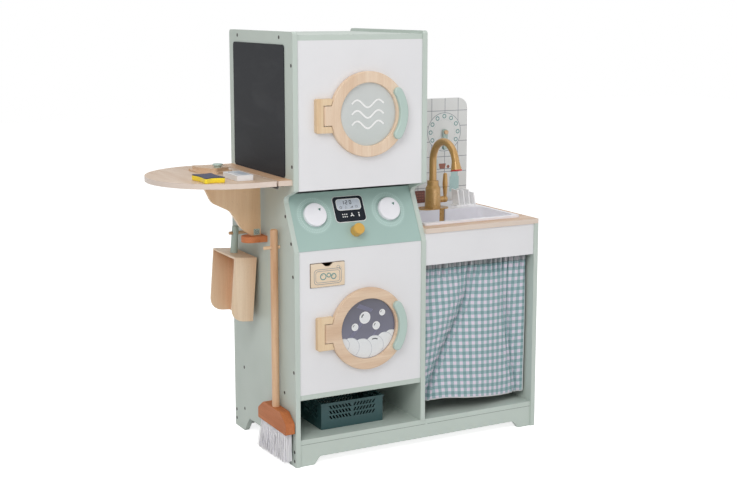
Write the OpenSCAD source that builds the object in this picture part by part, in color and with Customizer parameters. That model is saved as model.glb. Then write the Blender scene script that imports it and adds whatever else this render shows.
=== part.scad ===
// Toy laundry centre: a tower with a dryer above a washer, a sink unit beside it and a fold-out table.
// Millimetres. X runs from the left side panel's outer face, Y back from the front edges, Z up from the
// floor; every piece is drawn there and place() moves it to the origin under the middle of the whole.

/* [Cabinet] */
// Width over the left and right side panels
cab_w = 668; // [640:1:700]
// Height of the tower
tower_h = 1000; // [980:1:1040]
// Width of the tower over its two side panels
tower_w = 344; // [334:1:356]
// Depth of the tower's side panels
tower_d = 368; // [356:1:390]
// Depth of the sink unit without its backsplash
sink_d = 336; // [330:1:345]
// Thickness of the wooden boards
board_t = 12; // [10:0.5:13]
// Thickness of the back sheets
sheet_t = 4; // [3:0.5:6]
// Distance of the front boards behind the panels' front edges
front_inset = 3; // [1:0.5:5]
// Distance of the tower's back sheet from the panels' back edges
back_inset = 12; // [8:1:14]
// Height of the floor board's top
floor_top = 64; // [60:1:70]
// Height of the top of the shelf over the crate
shelf_top = 171; // [165:1:180]
// Height of the washer front's top
washer_top = 507; // [500:1:512]
// Height of the dryer front's lower edge
dryer_low = 645; // [642:1:655]
// Height of the side panels above the top board
top_lip = 7; // [4:1:12]
// Rounding of the panels' top corners
panel_r = 8; // [3:1:12]

/* [Control recess] */
// Depth of the recess in the panels' front edges
recess_d = 60; // [50:1:66]
// Height of the recess corner below the dryer front
recess_drop = 21; // [18:1:26]
// Distance of the control panel behind the recess edge
panel_recess = 1.5; // [0.5:0.5:3]
// Rounding of the recess corner
recess_r = 12; // [6:1:16]

/* [Feet] */
// Length of a side panel's foot on the floor
foot_l = 60; // [45:1:70]
// Height of the arch between a side panel's feet
foot_h = 40; // [25:1:46]
// Width of the front plinth's foot beside the panel
plinth_foot = 36; // [25:1:60]
// Height of the arch under the front plinth
plinth_arch = 18.5; // [10:0.5:30]
// Slope's run beside each foot, for one unit of its rise
foot_run = 0.8; // [0.5:0.1:1.2]

/* [Doors] */
// Outer radius of a door ring
ring_r = 97.5; // [92:0.5:100]
// Radius of the clear window
window_r = 72; // [65:0.5:76]
// Thickness of a door ring
door_t = 12; // [10:0.5:14]
// Distance of the doors and controls left of the tower's middle
face_shift = 6; // [0:1:10]
// Height of the washer door's middle
washer_z = 312; // [300:1:316]
// Height of a hinge block
hinge_h = 77; // [70:1:90]
// Width of a hinge block
hinge_w = 41; // [38:0.5:48]
// Height of the hinge block's notch
notch_h = 47; // [40:1:52]
// Radius of a door's hinge pin
door_pin_r = 2; // [1.5:0.25:3]
// Width of the grip across the ring
grip_w = 21; // [16:0.5:24]
// Thickness of the grip
grip_t = 9; // [6:0.5:12]
// Half of the angle that the grip spans
grip_half = 34; // [25:1:50]
// Thickness of a window
window_t = 3; // [2:0.5:3.5]

/* [Soap drawer] */
// Width of the drawer front
drawer_w = 85.5; // [76:0.5:92]
// Height of the drawer front
drawer_h = 54.5; // [48:0.5:56]
// Distance of the drawer front from the left side panel's inner face
drawer_side = 29; // [24:1:40]
// Height of the drawer front's middle
drawer_z = 449.5; // [448:0.5:458]
// Length of the drawer box
drawer_l = 105; // [80:1:130]
// Thickness of the drawer's plywood
drawer_t = 5; // [4:0.5:6]
// Distance of the drawer front's face before the white board
drawer_proud = 3.5; // [1:0.5:4.5]
// Play between the drawer box and its housing
drawer_play = 0.6; // [0.4:0.1:1]

/* [Controls] */
// Distance between the two dials
dial_gap = 193; // [180:1:200]
// Radius of a dial
dial_r = 28; // [22:0.5:32]
// Thickness of a dial
dial_t = 9; // [6:0.5:12]
// Radius of a dial's spindle
spindle_r = 5; // [4:0.5:7]
// Distance of the dials from the control panel's lower edge, along its slope
dial_s = 85; // [80:1:90]
// Radius of the start button
button_r = 13.5; // [11:0.5:16]
// Height of the start button above the control panel
button_h = 22; // [14:0.5:24]
// Distance of the start button from the control panel's lower edge
button_s = 39; // [34:1:43]
// Travel of the start button
button_travel = 3; // [2:0.5:4]
// Width of the display plate
display_w = 77; // [66:1:82]
// Height of the display plate along the slope
display_h = 61; // [56:1:63]
// Thickness of the display plate
display_t = 1.5; // [1:0.5:2.5]
// Height of the display plate's middle along the slope
display_s = 94; // [93:0.5:95]

/* [Sink unit] */
// Height of the worktop's upper face
worktop_z = 534.5; // [520:0.5:545]
// Lower edge of the apron below the worktop's upper face
apron_drop = 89.5; // [80:0.5:100]
// Width of the sink's rim
sink_w = 276; // [262:1:290]
// Distance of the sink's rim behind the worktop's front edge
sink_front = 36; // [34:1:42]
// Distance of the sink's deck before the backsplash
tub_back = 10; // [8:1:20]
// Thickness of the sink's rim
rim_t = 5.5; // [4:0.5:7]
// Width of the rim beside the basin
rim_side = 10; // [8:0.5:14]
// Width of the rim in front of the basin
rim_front = 14; // [10:0.5:18]
// Length of the basin from front to back
basin_l = 155; // [140:1:158]
// Depth of the basin below the rim
basin_d = 80; // [60:1:84]
// Thickness of the basin's wall
tub_t = 3; // [2:0.5:4]
// Width of the channel that holds the water uptake
channel_w = 17; // [15:0.5:20]
// Height of the backsplash above the worktop
splash_h = 279.5; // [270:0.5:300]
// Thickness of the backsplash
splash_t = 9; // [6:0.5:12]
// Rounding of the backsplash's free corner
splash_r = 28; // [10:1:40]
// Height of the clock's middle above the worktop
clock_up = 190; // [180:1:200]
// Distance of the clock's middle from the right side
clock_side = 72; // [62:1:100]
// Length of the clock hand
hand_l = 46; // [35:1:50]
// Number of fins on the rack behind the basin
rack_fins = 4; // [2:1:4]

/* [Tap] */
// Radius of the tap's spout
spout_r = 9.5; // [8:0.5:11]
// Reach of the spout's bend from the tap's axis to its middle
bend_r = 55; // [45:1:58]
// Height of the bend's middle above the sink's rim
bend_up = 122.5; // [110:0.5:135]
// Radius of the tap's body at its foot
tap_r = 21; // [18:0.5:23]
// Height of the tap's body
tap_h = 73; // [70:1:80]
// Distance of the tap's axis behind the basin
tap_back = 27; // [27:1:34]
// Length of the tap's lever
lever_l = 64; // [45:1:70]

/* [Curtain] */
// Radius of the curtain's rod
rod_r = 6; // [4:0.5:7]
// Distance of the rod behind the worktop's front edge
rod_y = 27; // [25.5:0.5:28]
// Height of the curtain's hem above the floor board
hem_up = 32; // [15:1:60]
// Gap between the curtain and the side panels
curtain_gap = 9; // [4:1:20]
// Number of gathers along the curtain's rod
gathers = 12; // [8:1:12]
// Half depth of the gathers under the rod
gather_d = 3.5; // [2:0.5:5]
// Half depth of the broad folds at the hem
fold_d = 15; // [6:0.5:17]
// How far the hem dips below its ends
hem_dip = 8; // [0:1:15]

/* [Table] */
// Width of the ledge that stands out from the left side panel
ledge_w = 34; // [30:1:40]
// Height of the table's upper face
table_z = 672; // [664:1:690]
// Length of the table along the side panel
table_l = 356; // [340:1:360]
// Reach of the table's leaf from its hinge edge to its round end
leaf_reach = 237; // [215:1:245]
// Gap between the ledge and the leaf
leaf_gap = 4.4; // [4.2:0.1:5]
// Reach of the swing bracket from its pivot
bracket_reach = 135; // [120:1:140]
// Height of the swing bracket
bracket_h = 136; // [130:1:150]
// Distance of the bracket's pivot from the side panel
pivot_x = 20; // [15:0.5:22]
// Thickness of the pivot block
block_t = 14; // [10:0.5:18]
// Radius of the bracket's pivot bolt
pivot_r = 3; // [2.5:0.5:4]

/* [Cleaning tools] */
// Radius of a peg that holds a tool
peg_r = 4; // [3:0.5:5]
// Length of the dustpan's peg outside the side panel
peg_l = 50; // [48:1:60]
// Length of the broom's peg outside the side panel
broom_peg_l = 40; // [30:1:50]
// Height of the dustpan's peg
peg_z = 515; // [508:1:520]
// Place of the broom's peg behind the front edge
broom_y = 82; // [52:1:90]
// Place of the dustpan's peg behind the front edge
pan_y = 268; // [266:1:275]
// Radius of the broom's stick
stick_r = 9; // [8.5:0.5:10]
// Length of the stick above the broom's head
stick_l = 422; // [400:1:430]
// Length of the broom's head
head_l = 160; // [130:1:164]
// Thickness of the broom's head
head_t = 23; // [22:1:26]
// Height of the broom's head
head_h = 47; // [40:1:52]
// Length of the bristles
bristle_l = 67; // [55:1:68]
// Rows of bristles across the head
bristle_rows = 9; // [6:1:9]
// Bristles along each row
bristle_count = 40; // [34:1:44]
// Width of the dustpan
pan_w = 142; // [120:1:142]
// Length of the dustpan from its back wall to its lip
pan_l = 155; // [130:1:170]
// Depth of the dustpan from its floor to the edge of its walls
pan_d = 56; // [45:1:60]
// Thickness of the dustpan's plywood
pan_t = 4.5; // [3:0.5:6]
// Lean of the hanging dustpan away from the side panel, in degrees
pan_lean = 4.5; // [3:0.5:6]

/* [Crate] */
// Width of the crate
crate_w = 165; // [140:1:180]
// Depth of the crate
crate_l = 117; // [100:1:140]
// Height of the crate
crate_h = 64; // [55:1:80]
// Thickness of the crate's walls
crate_t = 3; // [2.5:0.5:4]
// Distance of the crate behind the front edges
crate_y = 47; // [30:1:60]
// Rows of slots in each wall
slot_rows = 3; // [2:1:4]
// Slots in each half row of the front wall
slot_count = 7; // [4:1:8]

/* [Things on the table] */
// Length of the toy iron
iron_l = 112; // [90:1:120]
// Width of the toy iron
iron_w = 66; // [54:1:76]
// Thickness of the iron's body over its sole
iron_t = 12; // [8:0.5:16]
// Radius of the iron's knob
knob_r = 12; // [9:0.5:14]
// Length of the sponge
sponge_l = 80; // [60:1:88]
// Width of the sponge
sponge_w = 48; // [36:1:56]
// Thickness of the sponge's foam
foam_t = 11; // [7:0.5:20]
// Thickness of the sponge's scouring layer
scour_t = 2; // [1.5:0.5:5]
// Length of the soap packet
packet_l = 86; // [70:1:92]
// Width of the soap packet
packet_w = 40; // [30:1:46]
// Thickness of the soap packet
packet_t = 12; // [8:0.5:18]

/* [Fixings] */
// Radius of a screw's shank
screw_r = 1.75; // [1.25:0.25:2]
// Length of a screw
screw_l = 34; // [25:1:38]
// Radius of a screw's head
screw_head = 4.25; // [3:0.25:5]

/* [Hidden] */
$fn = 96;

// Clearances: press is a glued or driven joint, run a turning one, rest a thing laid down, play a loose one
press_gap = 0.02;
run_gap = 0.06;
rest_gap = 0.2;
play_gap = 1.5;
// How far a cutting shape runs past the face it opens
past = 1;
// Flats in each rounded corner of an outline
arc_steps = 5;

// Colours
mint = [0.76, 0.81, 0.77];
deep_mint = [0.63, 0.74, 0.69];
grip_mint = [0.65, 0.76, 0.71];
white = [0.90, 0.90, 0.91];
wood = [0.87, 0.74, 0.60];
plywood = [0.85, 0.73, 0.56];
terracotta = [0.73, 0.43, 0.27];
gold = [0.69, 0.53, 0.24];
mustard = [0.84, 0.65, 0.27];
slate = [0.25, 0.27, 0.29];
steel = [0.70, 0.71, 0.72];

// Levels of the boards
inner_left = board_t;
inner_right = tower_w - board_t;
bay_left = tower_w;
bay_right = cab_w - board_t;
bay_mid = (bay_left + bay_right) / 2;
top_high = tower_h - top_lip;
top_low = top_high - board_t;
floor_low = floor_top - board_t;
shelf_low = shelf_top - board_t;
dryer_floor_top = dryer_low + board_t;
worktop_low = worktop_z - board_t;
apron_low = worktop_z - apron_drop;
front_y = front_inset;
front_mid = front_y + board_t / 2;
front_back = front_y + board_t;
back_y = tower_d - back_inset - sheet_t;
sink_back_y = sink_d - 2 * sheet_t;
back_plinth_y = tower_d - front_inset - board_t;
sink_plinth_y = sink_back_y - board_t;
foot_slope = foot_h * foot_run;

// The recess edge runs up from the washer front to the corner, then forward again
recess_z = dryer_low - recess_drop;
slope = atan2(recess_d, recess_z - washer_top);
recess_edge_top = dryer_low + past;
function edge_y(z) = (z - washer_top) * tan(slope);
panel_out = panel_recess / cos(slope);
panel_in = (panel_recess + board_t) / cos(slope);
panel_seam = 0.3;
// The control panel's square-cut top edge stays under the dryer's floor board, over an open slot
panel_drop = 13.7;
panel_high = dryer_low - panel_drop;
panel_back = panel_high - board_t * sin(slope);

// Doors: the middle of a ring, its hinge pin and its block, from the front board's face outward
face_mid = tower_w / 2 - face_shift;
dryer_z = (dryer_low + top_low) / 2;
door_gap = 0.5;
block_gap = play_gap;
pin_inset = hinge_w - 16.5;
door_span = ring_r + hinge_w - 5;
door_x = face_mid + hinge_w / 2;
block_x0 = -door_span;
pin_x = block_x0 + pin_inset;
notch_x = pin_x - door_t / 2 - 1;
pin_out = door_gap + door_t / 2;
pin_half = hinge_h / 2 - 6;
tab_h = notch_h - 2 * play_gap;
front_hole_r = window_r + 8;
rebate_r = window_r + 5;
rebate_d = window_t + 1;
grip_out = ring_r + 0.5;
grip_mid = grip_out - grip_w / 2;
front_reach = door_gap + door_t + grip_t - front_y;

// Soap drawer
drawer_x0 = inner_left + drawer_side;
drawer_gap = 1;
drawer_lap = 2.5;
notch_d = 8;
notch_top = 15;
notch_base = 5;
box_w = drawer_w - 2 * drawer_lap;
box_h = drawer_h - drawer_lap - notch_d - 1;
box_x0 = drawer_x0 + drawer_lap;
box_z0 = drawer_z - drawer_h / 2 + drawer_lap;
box_y0 = front_y - drawer_proud + drawer_t;
housing_t = 4;
housing_l = drawer_l + box_y0 - front_back + housing_t + 0.3;

// Tub and tap
tub_x0 = bay_mid - sink_w / 2;
tub_top = worktop_z + rim_t;
basin_x0 = tub_x0 + rim_side;
basin_x1 = tub_x0 + sink_w - rim_side;
basin_y0 = sink_front + rim_front;
basin_y1 = basin_y0 + basin_l;
basin_low = tub_top - basin_d;
basin_r = 12;
uptake_x = bay_mid + 13;
channel_d = 13;
tap_y = basin_y1 + tap_back;
plate_t = 2.5;
plate_half = 25;
plate_run = 17.5;
spout_seat = 25;
bend_z = tub_top + bend_up;
bend_angle = 168;
nozzle_l = 22;
nozzle_r = 14;
lever_z = tub_top + 22;
lever_x = tap_r + 15;
spigot_r = 3;
clock_x = cab_w - clock_side;
clock_z = worktop_z + clock_up;
clock_pin_r = 3;
hand_t = 6;
hand_off = 2;
rack_x = bay_mid + 72;
rack_pitch = 16;
rack_h = 43;
rack_l = 30;
rack_y = tap_y - 3;

// Curtain
rod_z = apron_low + rod_r + 12;
pocket_gap = 0.3;
cloth_t = 1.6;
curtain_x0 = bay_left + curtain_gap;
curtain_x1 = bay_right - curtain_gap;
hem_z = floor_top + hem_up;
fold_columns = gathers * 6;
fold_rows = 7;

// Table
ledge_y0 = (tower_d - table_l) / 2;
leaf_x = -ledge_w - leaf_gap;
leaf_r = table_l / 2;
leaf_mid_y = tower_d / 2;
table_low = table_z - board_t;
hinge_x = -ledge_w - leaf_gap / 2;
knuckle_r = board_t / 4;
hinge_pin_r = 0.4 * knuckle_r;
hinge_leaf_t = 1.4;
hinge_plate = 14;
hinge_axis_z = table_low - knuckle_r;
knuckle_l = board_t * 2 / 3;
hinge_edge = board_t / 4;
hinge_ys = [ledge_y0 + hinge_edge, ledge_y0 + table_l - hinge_edge - 3 * knuckle_l];
leaf_end_x = leaf_x - leaf_reach;
bracket_y = leaf_mid_y - 12;
bracket_top = table_low - 0.8;
bracket_low = bracket_top - bracket_h;
nut_r = 5;
nut_z = bracket_low + 8.5;
block_half = 22;
block_reach = 56;
block_top = bracket_low - 0.5;

// Cleaning tools
socket_l = 8;
tool_hole_r = peg_r + 0.8;
hole_drop = tool_hole_r - peg_r - 0.3;
broom_peg_z = peg_z - 7;
broom_x = -head_t / 2 - 2;
stick_over = 43;
head_low = broom_peg_z + stick_over - stick_l - head_h;
// Middle, height and length of each tool's peg
peg_places = [[broom_y, broom_peg_z, broom_peg_l], [pan_y, peg_z, peg_l]];
broom_top = head_low + head_h + stick_l;
head_end = 0.53;
stick_seat = 20;
bristle_slice = 3;
handle_x = -34;
handle_r = 9;
handle_up = 18;
pan_top = peg_z - 49;
pan_x1 = -4;
pan_corner = 30;

// Crate, and the slots in its walls
crate_x0 = inner_left + (inner_right - inner_left - crate_w) / 2 - 2;
crate_z0 = floor_top + rest_gap;
crate_post = 9;
slot_margin = 18;
slot_w = 5;
slot_h = 8.6;
slot_pitch = 12.4;
slot_lean = 0.6;

// Reach of the whole, and the middle of its foot
reach_left = leaf_end_x;
reach_right = cab_w;
mid_x = (reach_left + reach_right) / 2;
reach_front = max(front_reach, head_l / 2 - broom_y);
mid_y = (tower_d - reach_front) / 2;
module place() {
    translate([-mid_x, -mid_y, 0]) children();
}

// Places of the screws, as distances from the front edge and from the floor
screw_in = 62;
tower_board_ys = [screw_in, back_y - 46];
top_spots = [for (y = [screw_in + 11, back_y - 35]) [y, top_high - board_t / 2]];
shelf_spots = [for (y = tower_board_ys) [y, shelf_low + board_t / 2]];
dryer_spots = [for (z = [dryer_low + 56, top_low - 55]) [front_mid, z]];
washer_spots = [for (z = [shelf_top + 55, washer_top - 57]) [front_mid, z]];
control_spots = [for (s = [24, 90]) [
    s * sin(slope) + (panel_recess + board_t / 2) * cos(slope),
    washer_top + s * cos(slope) - (panel_recess + board_t / 2) * sin(slope)]];
floor_spots = [for (y = tower_board_ys) [y, floor_low + board_t / 2]];
plinth_spots = [for (z = [14, 36]) [front_mid, z]];
back_plinth_spots = [for (z = [19, 42]) [back_plinth_y + board_t / 2, z]];
sink_floor_spots = [for (y = [screw_in, sink_back_y - screw_in]) [y, floor_low + board_t / 2]];
sink_plinth_spots = [for (z = [19, 42]) [sink_plinth_y + board_t / 2, z]];
apron_spots = [for (z = [apron_low + 18, worktop_low - 18]) [front_mid, z]];

// Outlines with rounded corners: each point is [x, y, radius]
function unit(v) = v / norm(v);
function flat(p) = [p.x, p.y];
function corner(a, b, c, r) = r == 0 ? [flat(b)] :
    let (
        u = unit(flat(a) - flat(b)),
        v = unit(flat(c) - flat(b)),
        half = acos(u * v) / 2,
        middle = flat(b) + unit(u + v) * r / sin(half),
        first = flat(b) + u * r / tan(half) - middle,
        last = flat(b) + v * r / tan(half) - middle,
        start = atan2(first.y, first.x),
        turn = (atan2(last.y, last.x) - start + 540) % 360 - 180
    )
    [for (i = [0 : arc_steps])
        let (angle = start + turn * i / arc_steps) middle + r * [cos(angle), sin(angle)]];
function rounded(p) = [for (i = [0 : len(p) - 1])
    each corner(p[(i + len(p) - 1) % len(p)], p[i], p[(i + 1) % len(p)], p[i][2])];
function frame(x0, y0, x1, y1, r) = [[x0, y0, r], [x1, y0, r], [x1, y1, r], [x0, y1, r]];

// A box between two corners, and boards cut from an outline seen from the side, the front or above
module box(low, high) {
    translate(low) cube(high - low);
}
module side_board(x, t, points) {
    translate([x, 0, 0]) rotate([90, 0, 90]) linear_extrude(t) polygon(rounded(points));
}
module front_board(y, t, points) {
    translate([0, y + t, 0]) rotate([90, 0, 0]) linear_extrude(t) polygon(rounded(points));
}
module flat_board(z, t, points) {
    translate([0, 0, z]) linear_extrude(t) polygon(rounded(points));
}
// Turns a shape so that its own Z points out of the front, its Y up
module outward() {
    rotate([90, 0, 0]) children();
}

// Screws through the tower's two sides, through the left side alone and through the right side
module at_tower(spots) {
    at_left(spots) children();
    for (s = spots) translate([tower_w, s.x, s.y]) mirror([1, 0, 0]) children();
}
module at_left(spots) {
    for (s = spots) translate([0, s.x, s.y]) children();
}
module at_right(spots) {
    for (s = spots) translate([cab_w, s.x, s.y]) mirror([1, 0, 0]) children();
}
module screw_shape(gap) {
    rotate([0, 90, 0]) {
        cylinder(h = screw_head - screw_r, r1 = screw_head + gap, r2 = screw_r + gap);
        cylinder(h = screw_l + gap, r = screw_r + gap);
    }
}
module screw_cut() {
    screw_shape(press_gap);
    rotate([0, -90, 0]) cylinder(h = past, r = screw_head + press_gap);
}
module screw() {
    cross_w = 0.8;
    cross_l = screw_head * 1.2;
    cross_d = 1;
    difference() {
        screw_shape(0);
        translate([-past, -cross_w / 2, -cross_l / 2]) cube([past + cross_d, cross_w, cross_l]);
        translate([-past, -cross_l / 2, -cross_w / 2]) cube([past + cross_d, cross_l, cross_w]);
    }
}

// Outlines of the side panels, seen from the left, from the front foot round to the recess
function feet(depth) = [[0, 0, 0], [foot_l, 0, 4], [foot_l + foot_slope, foot_h, 10],
    [depth - foot_l - foot_slope, foot_h, 10], [depth - foot_l, 0, 4], [depth, 0, 0]];
recess = [[0, recess_edge_top, 4], [recess_d, recess_z, recess_r], [0, washer_top, 6]];
function panel_head(depth) = [[depth, tower_h, panel_r], [0, tower_h, panel_r]];

module left_side_panel() {
    place() color(mint) difference() {
        side_board(0, board_t, concat(feet(tower_d), panel_head(tower_d), recess));
        at_left(concat(top_spots, shelf_spots, dryer_spots, washer_spots, control_spots, floor_spots,
            plinth_spots, back_plinth_spots)) screw_cut();
        for (peg = peg_places) translate([-past, peg[0], peg[1]]) rotate([0, 90, 0])
            cylinder(h = past + socket_l + rest_gap, r = peg_r + press_gap);
    }
}
module divider_panel() {
    low = [[0, floor_top, 0], [tower_d, floor_top, 0]];
    place() color(mint) difference() {
        side_board(tower_w - board_t, board_t, concat(low, panel_head(tower_d), recess));
        at_tower(concat(top_spots, shelf_spots, dryer_spots, washer_spots, control_spots)) screw_cut();
    }
}
module right_side_panel() {
    place() color(mint) difference() {
        side_board(bay_right, board_t,
            concat(feet(sink_d), [[sink_d, worktop_low, 0], [0, worktop_low, 0]]));
        at_right(concat(sink_floor_spots, plinth_spots, sink_plinth_spots, apron_spots)) screw_cut();
    }
}
module top_board() {
    place() color(mint) difference() {
        box([inner_left, front_y, top_low], [inner_right, back_y + sheet_t, top_high]);
        at_tower(top_spots) screw_cut();
    }
}
module dryer_floor_board() {
    place() color(mint)
        box([inner_left, front_back, dryer_low], [inner_right, back_y, dryer_floor_top]);
}
module door_hole(z) {
    translate([door_x, front_back + past, z]) outward() cylinder(h = board_t + 2 * past, r = front_hole_r);
}
module dryer_front() {
    place() color(white) difference() {
        box([inner_left, front_y, dryer_low], [inner_right, front_back, top_low]);
        door_hole(dryer_z);
        at_tower(dryer_spots) screw_cut();
    }
}
// Places a shape on the control panel: x along it, s up its slope, the shape's Z outward
module on_slope(x, s) {
    translate([0, 0, washer_top]) rotate([-slope, 0, 0]) translate([x, panel_recess, s]) outward() children();
}
module dial_places() {
    for (side = [-1, 1]) on_slope(face_mid + side * dial_gap / 2, dial_s) children();
}
module control_panel() {
    low = washer_top + panel_seam;
    place() color(deep_mint) difference() {
        side_board(inner_left, inner_right - inner_left, [
            [edge_y(low) + panel_out, low, 0], [edge_y(low) + panel_in, low, 0],
            [edge_y(panel_back) + panel_in, panel_back, 0], [edge_y(panel_high) + panel_out, panel_high, 0]]);
        dial_places() translate([0, 0, -board_t - past])
            cylinder(h = board_t + 2 * past, r = spindle_r + run_gap);
        on_slope(face_mid, button_s) translate([0, 0, -board_t - past])
            cylinder(h = board_t + 2 * past, r = button_r + run_gap);
        at_tower(control_spots) screw_cut();
    }
}
module washer_front() {
    place() color(white) difference() {
        box([inner_left, front_y, shelf_top], [inner_right, front_back, washer_top]);
        door_hole(washer_z);
        box([drawer_x0 - drawer_gap, front_y - past, drawer_z - drawer_h / 2 - drawer_gap],
            [drawer_x0 + drawer_w + drawer_gap, front_back + past, drawer_z + drawer_h / 2 + drawer_gap]);
        at_tower(washer_spots) screw_cut();
    }
}
module shelf_board() {
    place() color(mint) difference() {
        box([inner_left, front_y, shelf_low], [inner_right, back_y, shelf_top]);
        at_tower(shelf_spots) screw_cut();
    }
}
module floor_board() {
    outline = [[inner_left, front_y, 0], [bay_right, front_y, 0], [bay_right, sink_back_y, 0],
        [bay_left, sink_back_y, 0], [bay_left, back_y + sheet_t, 0], [inner_left, back_y + sheet_t, 0]];
    place() color(mint) difference() {
        flat_board(floor_low, board_t, outline);
        at_left(floor_spots) screw_cut();
        at_right(sink_floor_spots) screw_cut();
    }
}
module front_plinth() {
    rise = plinth_arch * foot_run;
    foot_in = inner_left + plinth_foot;
    foot_out = bay_right - plinth_foot;
    outline = [[inner_left, 0, 0], [foot_in, 0, 3], [foot_in + rise, plinth_arch, 8],
        [foot_out - rise, plinth_arch, 8], [foot_out, 0, 3], [bay_right, 0, 0],
        [bay_right, floor_low, 0], [inner_left, floor_low, 0]];
    place() color(mint) difference() {
        front_board(front_y, board_t, outline);
        at_left(plinth_spots) screw_cut();
        at_right(plinth_spots) screw_cut();
    }
}
module back_plinths() {
    place() color(mint) difference() {
        union() {
            box([inner_left, back_plinth_y, 0], [bay_left - 0.5, back_plinth_y + board_t, floor_low]);
            box([bay_left, sink_plinth_y, 0], [bay_right, sink_plinth_y + board_t, floor_low]);
        }
        at_left(back_plinth_spots) screw_cut();
        at_right(sink_plinth_spots) screw_cut();
    }
}
module back_panels() {
    place() color(white) {
        box([inner_left, back_y, floor_top], [inner_right, back_y + sheet_t, top_low]);
        box([bay_left, sink_back_y, floor_top], [bay_right, sink_back_y + sheet_t, worktop_low]);
    }
}
module backsplash() {
    high = worktop_z + splash_h;
    place() color(white) difference() {
        front_board(sink_d, splash_t, [[bay_left, apron_low, 0], [cab_w, apron_low, 0],
            [cab_w, high, splash_r], [bay_left, high, 0]]);
        translate([clock_x, sink_d + splash_t + past, clock_z]) outward()
            cylinder(h = splash_t + 2 * past, r = clock_pin_r + press_gap);
    }
}
// The basin's outline grown by a margin, with the uptake's channel in its back wall
module basin_shape(z0, z1, margin) {
    half = channel_w / 2 + margin;
    flat_board(z0, z1 - z0, frame(basin_x0 - margin, basin_y0 - margin, basin_x1 + margin,
        basin_y1 + margin, basin_r));
    box([uptake_x - half, basin_y1 - past, z0], [uptake_x + half, basin_y1 + channel_d + margin, z1]);
}
module worktop() {
    place() color(wood) difference() {
        box([bay_left, 0, worktop_low], [cab_w, sink_d, worktop_z]);
        basin_shape(worktop_low - past, worktop_z + past, tub_t + rest_gap);
    }
}
module sink_apron() {
    place() color(white) difference() {
        box([bay_left, front_y, apron_low], [bay_right, front_back, worktop_low]);
        at_right(apron_spots) screw_cut();
    }
}
module blackboard() {
    place() color(slate)
        side_board(-2, 2, frame(44, table_z + 0.5, tower_d - 28, top_low - 10, 8));
}
module panel_screws() {
    place() color(steel) {
        at_tower(concat(top_spots, shelf_spots, dryer_spots, washer_spots, control_spots)) screw();
        at_left(concat(floor_spots, plinth_spots, back_plinth_spots)) screw();
        at_right(concat(sink_floor_spots, plinth_spots, sink_plinth_spots, apron_spots)) screw();
    }
}

// Doors. door_at() puts the middle of a ring's opening at the origin, on the front board's face
module door_at(z) {
    translate([door_x, front_y, z]) outward() children();
}
module hinge_pin_shape(r, half) {
    translate([pin_x, -half, pin_out]) rotate([-90, 0, 0]) cylinder(h = 2 * half, r = r);
}
module hinge_block() {
    t = door_gap + door_t;
    difference() {
        linear_extrude(t) polygon(rounded([[block_x0, -hinge_h / 2, 4], [block_x0 + hinge_w, -hinge_h / 2, 2],
            [block_x0 + hinge_w, hinge_h / 2, 2], [block_x0, hinge_h / 2, 4]]));
        translate([notch_x, -notch_h / 2, -past]) cube([hinge_w, notch_h, t + 2 * past]);
        translate([0, 0, -past]) cylinder(h = t + 2 * past, r = ring_r + block_gap);
        hinge_pin_shape(door_pin_r + press_gap, pin_half + press_gap);
    }
}
module door_hinge_blocks() {
    place() color(plywood) for (z = [dryer_z, washer_z]) door_at(z) hinge_block();
}
module door_hinge_pins() {
    place() color(steel) for (z = [dryer_z, washer_z]) door_at(z) hinge_pin_shape(door_pin_r, pin_half);
}
module door_ring() {
    profile = [[rebate_r, 0, 0], [ring_r, 0, 1], [ring_r, door_t, 2.5], [window_r, door_t, 2],
        [window_r, rebate_d, 0], [rebate_r, rebate_d, 0]];
    difference() {
        translate([0, 0, door_gap]) {
            rotate_extrude($fn = 128) polygon(rounded(profile));
            translate([pin_x, -tab_h / 2, 0]) cube([-ring_r + 8 - pin_x, tab_h, door_t]);
            translate([pin_x, -tab_h / 2, door_t / 2]) rotate([-90, 0, 0])
                cylinder(h = tab_h, r = door_t / 2);
        }
        hinge_pin_shape(door_pin_r + run_gap, hinge_h);
    }
}
module door_window() {
    translate([0, 0, door_gap + rebate_d - window_t]) cylinder(h = window_t, r = rebate_r - rest_gap);
}
// An arc with domed edges on the ring's right side, round at both ends
module door_grip() {
    edge_r = 3.5;
    bar = [[grip_mid - grip_w / 2, 0, 0], [grip_mid + grip_w / 2, 0, 0],
        [grip_mid + grip_w / 2, grip_t, edge_r], [grip_mid - grip_w / 2, grip_t, edge_r]];
    half_end = [[0, 0, 0], [grip_w / 2, 0, 0], [grip_w / 2, grip_t, edge_r], [0, grip_t, 0]];
    translate([0, 0, door_gap + door_t]) {
        rotate(-grip_half) rotate_extrude(angle = 2 * grip_half) polygon(rounded(bar));
        for (side = [-1, 1]) rotate(side * grip_half) translate([grip_mid, 0, 0])
            rotate_extrude() polygon(rounded(half_end));
    }
}
module dryer_door_ring() {
    place() color(wood) door_at(dryer_z) door_ring();
}
module dryer_window() {
    place() color([0.62, 0.68, 0.66]) door_at(dryer_z) door_window();
}
module dryer_door_grip() {
    place() color(grip_mint) door_at(dryer_z) door_grip();
}
module washer_door_ring() {
    place() color(wood) door_at(washer_z) door_ring();
}
module washer_window() {
    place() color([0.45, 0.52, 0.56]) door_at(washer_z) door_window();
}
module washer_door_grip() {
    place() color(grip_mint) door_at(washer_z) door_grip();
}

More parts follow.
